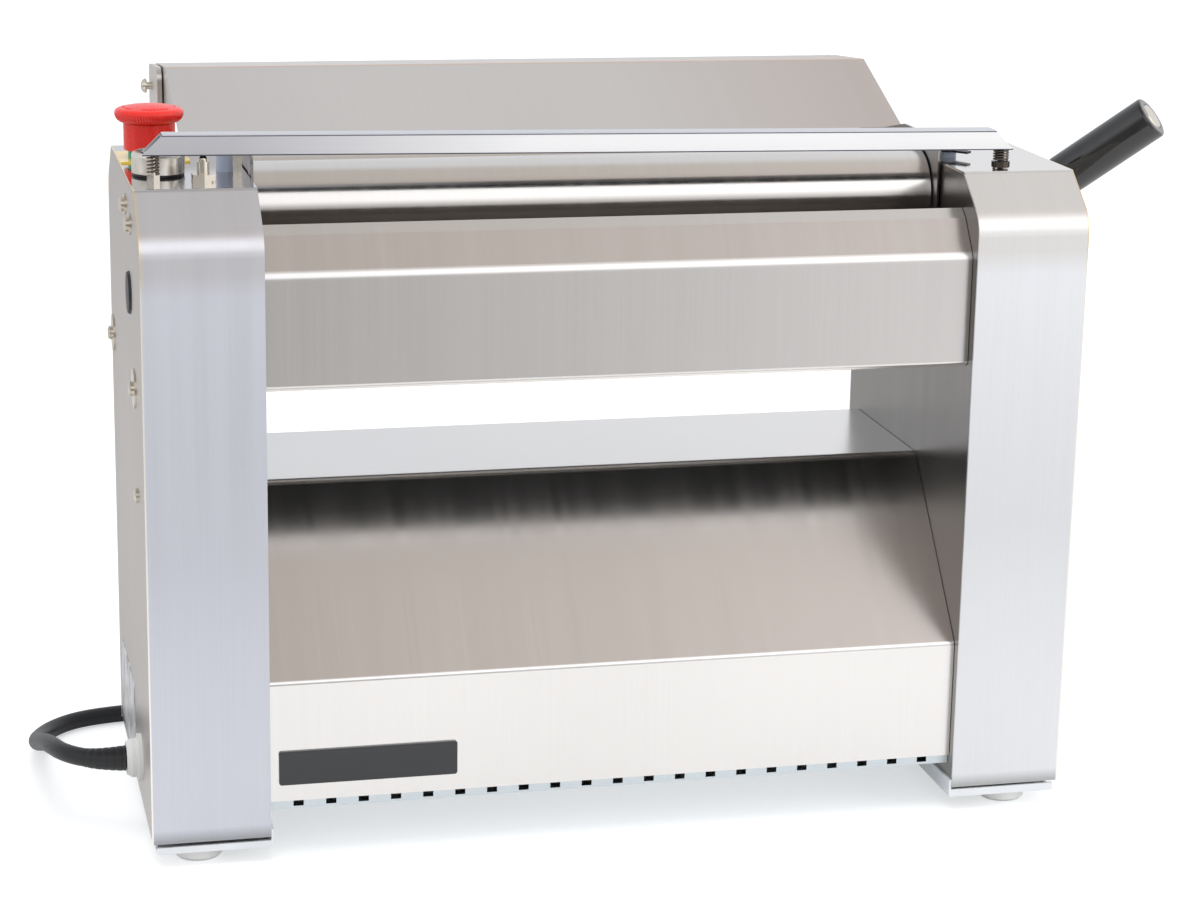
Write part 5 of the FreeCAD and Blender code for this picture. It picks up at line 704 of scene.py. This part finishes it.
lead_route = [
    (-0.31663, -0.124, 0.045), (-0.33013, -0.124, 0.045), (-0.34313, -0.1174, 0.045),
    (-0.35263, -0.105, 0.0444), (-0.35713, -0.086, 0.0415), (-0.35963, -0.061, 0.035),
    (-0.36163, -0.035, 0.0255), (-0.36313, -0.008, 0.016), (-0.36163, 0.018, 0.0085),
    (-0.35363, 0.041, 0.0054), (-0.33763, 0.0565, 0.0054), (-0.31363, 0.064, 0.0054),
    (-0.27963, 0.0665, 0.0054), (-0.24163, 0.0655, 0.0054), (-0.20563, 0.0625, 0.0054),
    (-0.17363, 0.060, 0.0054), (-0.14343, 0.060, 0.0054),
]
lead_radius = 0.0054

# The coil is wound in half turns, each of its own radius about its own middle; in the
# fifth the lead climbs on to the second layer. Six points stand round each half turn.
coil_x = -0.13263
coil_front = 0.060
layer = 0.0116
climb = 4
half_turns = np.array([66, 60.2, 54.4, 48.6, 42.8, 48.6, 54.4, 60.2]) / 1000
turn_way = np.array([1, -1, 1, -1, 1, -1, 1, -1])
ends = coil_front + np.concatenate([[0], np.cumsum(2 * half_turns * turn_way)])
middles = (ends[:-1] + ends[1:]) / 2
step = np.radians(15 + 30 * np.arange(6))
outward = 1 / math.cos(math.radians(15))
coil_points = []
for turn, (radius, middle) in enumerate(zip(half_turns, middles)):
    angle = np.pi * (turn % 2) - np.pi / 2 + step
    if turn == climb:
        height = lead_radius + layer * (0.5 - 0.5 * np.cos(step))
    else:
        height = np.full(step.size, lead_radius + layer * (turn > climb))
    coil_points += list(zip(coil_x + radius * outward * np.cos(angle),
                            middle + radius * outward * np.sin(angle), height))
tail = [(coil_x + run, coil_front, lead_radius + layer) for run in (0.012, 0.036)]
route = np.array(lead_route + coil_points + tail)
line = bpy.data.curves.new("mains_lead", "CURVE")
line.dimensions = "3D"
line.resolution_u = 8
spline = line.splines.new("NURBS")
spline.points.add(len(route) - 1)
spline.points.foreach_set("co", np.column_stack([route, np.ones(len(route))]).ravel())
spline.order_u = 3
spline.use_endpoint_u = True
lead = bpy.data.objects.new("mains_lead", line)
bpy.context.scene.collection.objects.link(lead)
way = np.array([vert.co[:] for vert in bpy.data.meshes.new_from_object(lead).vertices])
line.bevel_depth = lead_radius
line.bevel_resolution = 6
line.use_fill_caps = True
rubber = moulded("rubber", linear(25, 26, 28), 0.42, 700, 0.00003)
line.materials.append(rubber)
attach(lead, "machine_frame")
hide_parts("mains_cable", "cable_coil")


def sleeve_grid(way, length):
    """Rings square to the lead's line: the radius falls from 7.6 mm to 5.6 mm along the length,
    less a groove of 0.25 mm every 4 mm."""
    wide_radius = 0.0076
    narrow_radius = 0.0056
    inner_radius = 0.0050
    groove_depth = 0.00025
    groove_pitch = 0.004
    run = np.concatenate([[0], np.cumsum(np.linalg.norm(np.diff(way, axis=0), axis=1))])
    stops = np.linspace(0, length, 49)
    centre = np.stack([np.interp(stops, run, way[:, axis]) for axis in range(3)], -1)
    along = np.gradient(centre, axis=0)
    along /= np.linalg.norm(along, axis=1)[:, None]
    across = np.cross(along, (0, 0, 1))
    across /= np.linalg.norm(across, axis=1)[:, None]
    over = np.cross(across, along)
    wave = np.cos(2 * np.pi * stops / groove_pitch + np.pi)
    groove = groove_depth * np.clip(wave * 3 - 1.6, 0, 1)
    radius = wide_radius - (wide_radius - narrow_radius) * stops / length - groove
    radius[[0, -1]] = inner_radius
    angle = np.linspace(0, 2 * np.pi, 40, endpoint=False)[:, None]
    ring = np.cos(angle) * across[:, None] + np.sin(angle) * over[:, None]
    return centre[:, None] + radius[:, None, None] * ring


sleeve_length = 0.024
sleeve = skin("lead_sleeve", sleeve_grid(way, sleeve_length), rubber)
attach(sleeve, "machine_frame")
gland_nylon = moulded("gland_nylon", linear(222, 223, 221), 0.36)
wear(gland_nylon, "cable_gland")
wear(black_moulded, "mains_plug")


# Table and backdrop
# A white table under soft light. The camera sees it plain white, and a reflection sees
# it dimmer, less so in front of the machine than behind.

table_height = -0.0002
table = bpy.data.meshes.new("table")
table.from_pydata([(x, y, table_height) for x, y in ((-5, -0.75), (5, -0.75), (5, 8), (-5, 8))],
                  [], [(0, 1, 2, 3)])
white_table, tree, surface = start_finish("white_table", (0.6, 0.6, 0.6), 0, 0.6)[:3]
surface.inputs["Emission Color"].default_value = (0.97, 0.99, 1.0, 1)
rays = tree.nodes.new("ShaderNodeLightPath")
mirrored = ranged(tree, axes_of(tree)["Y"], -0.15, 0.15, 0.37, 0.05)
glow = weighed(tree, rays.outputs["Is Camera Ray"], 0.55,
               product_of(tree, rays.outputs["Is Glossy Ray"], mirrored))
tree.links.new(glow, surface.inputs["Emission Strength"])
table.materials.append(white_table)
floor = bpy.data.objects.new("table", table)
bpy.context.scene.collection.objects.link(floor)


# Light and room
# The room is white behind and dimmer above and in front, with a bright window band over
# the front, brighter to the right; two soft lamps model the forms.

world = bpy.data.worlds.new("room")
bpy.context.scene.world = world
world.use_nodes = True
tree = world.node_tree
background = tree.nodes["Background"]
background.inputs["Strength"].default_value = 1.0
rightward, backward, upward = axes_of(tree, "Generated")
right = ranged(tree, rightward, 0.05, 0.42, 0, 1)
far_right = ranged(tree, rightward, 0.38, 0.62, 0, 1)
behind = ranged(tree, backward, -0.3, 0.3, 0, 1)
over_wall = ranged(tree, upward, -0.05, 0.2, 0, 1)
over_sill = ranged(tree, upward, 0.06, 0.28, 0, 1)
over_window = ranged(tree, upward, 0.64, 0.80, 0, 1)
overhead = ranged(tree, upward, 0.88, 0.97, 0, 1)
low_front = tinted(tree, right, linear(170, 169, 168), linear(244, 244, 246))
low_front = tinted(tree, far_right, low_front, (1.35, 1.36, 1.38))
window = tinted(tree, right, (1.2, 1.22, 1.27), (1.8, 1.8, 1.82))
high_front = tinted(tree, right, linear(184, 174, 168), linear(232, 224, 221))
low_back = linear(250, 250, 250)
high_back = tinted(tree, right, linear(224, 228, 234), linear(248, 250, 254))
zenith = tinted(tree, right, linear(196, 192, 188), linear(224, 218, 210))
front = tinted(tree, over_sill, low_front, window)
front = tinted(tree, over_window, front, high_front)
back = tinted(tree, over_wall, low_back, high_back)
around = tinted(tree, behind, front, back)
shell = tinted(tree, overhead, around, zenith)
rays = tree.nodes.new("ShaderNodeLightPath")
open_light = tinted(tree, rays.outputs["Is Glossy Ray"], linear(246, 246, 248), shell)
tree.links.new(tinted(tree, rays.outputs["Is Camera Ray"], open_light, (1.0, 1.0, 1.0)),
               background.inputs["Color"])


def soft_lamp(name, place, target, size, power):
    """Square lamp that faces the target and shows in no reflection."""
    lamp = bpy.data.lights.new(name, "AREA")
    lamp.size = size
    lamp.energy = power
    stand = bpy.data.objects.new(name, lamp)
    bpy.context.scene.collection.objects.link(stand)
    stand.location = place
    stand.visible_glossy = False
    aim = Vector(target) - Vector(place)
    stand.rotation_euler = aim.to_track_quat("-Z", "Y").to_euler()


soft_lamp("lamp_above", (-0.3, -0.4, 2.4), (0, 0, 0.2), 1.6, 22)
soft_lamp("lamp_right", (2.2, -1.6, 1.2), (0, 0, 0.25), 1.2, 14)


# Camera
# Long lens from the front left, a little above the top of the machine: yaw is how far it
# turns right, pitch how far it looks down, and roll how far it leans.

camera = bpy.data.cameras.new("camera")
camera.sensor_width = 36
camera.lens = 88.04
eye = bpy.data.objects.new("camera", camera)
bpy.context.scene.collection.objects.link(eye)
eye_place = (-0.43303, -1.7636, 0.660)
yaw, pitch, roll = (math.radians(angle) for angle in (13.689, 14.629, 1.0275))
ahead = np.array([math.sin(yaw) * math.cos(pitch), math.cos(yaw) * math.cos(pitch),
                  -math.sin(pitch)])
level_right = np.array([math.cos(yaw), -math.sin(yaw), 0])
level_up = np.cross(level_right, ahead)
pose = np.eye(4)
pose[:3, 0] = math.cos(roll) * level_right + math.sin(roll) * level_up
pose[:3, 1] = -math.sin(roll) * level_right + math.cos(roll) * level_up
pose[:3, 2] = -ahead
pose[:3, 3] = eye_place
eye.matrix_world = Matrix(pose.tolist())
bpy.context.scene.camera = eye
bpy.context.scene.view_settings.view_transform = "Standard"
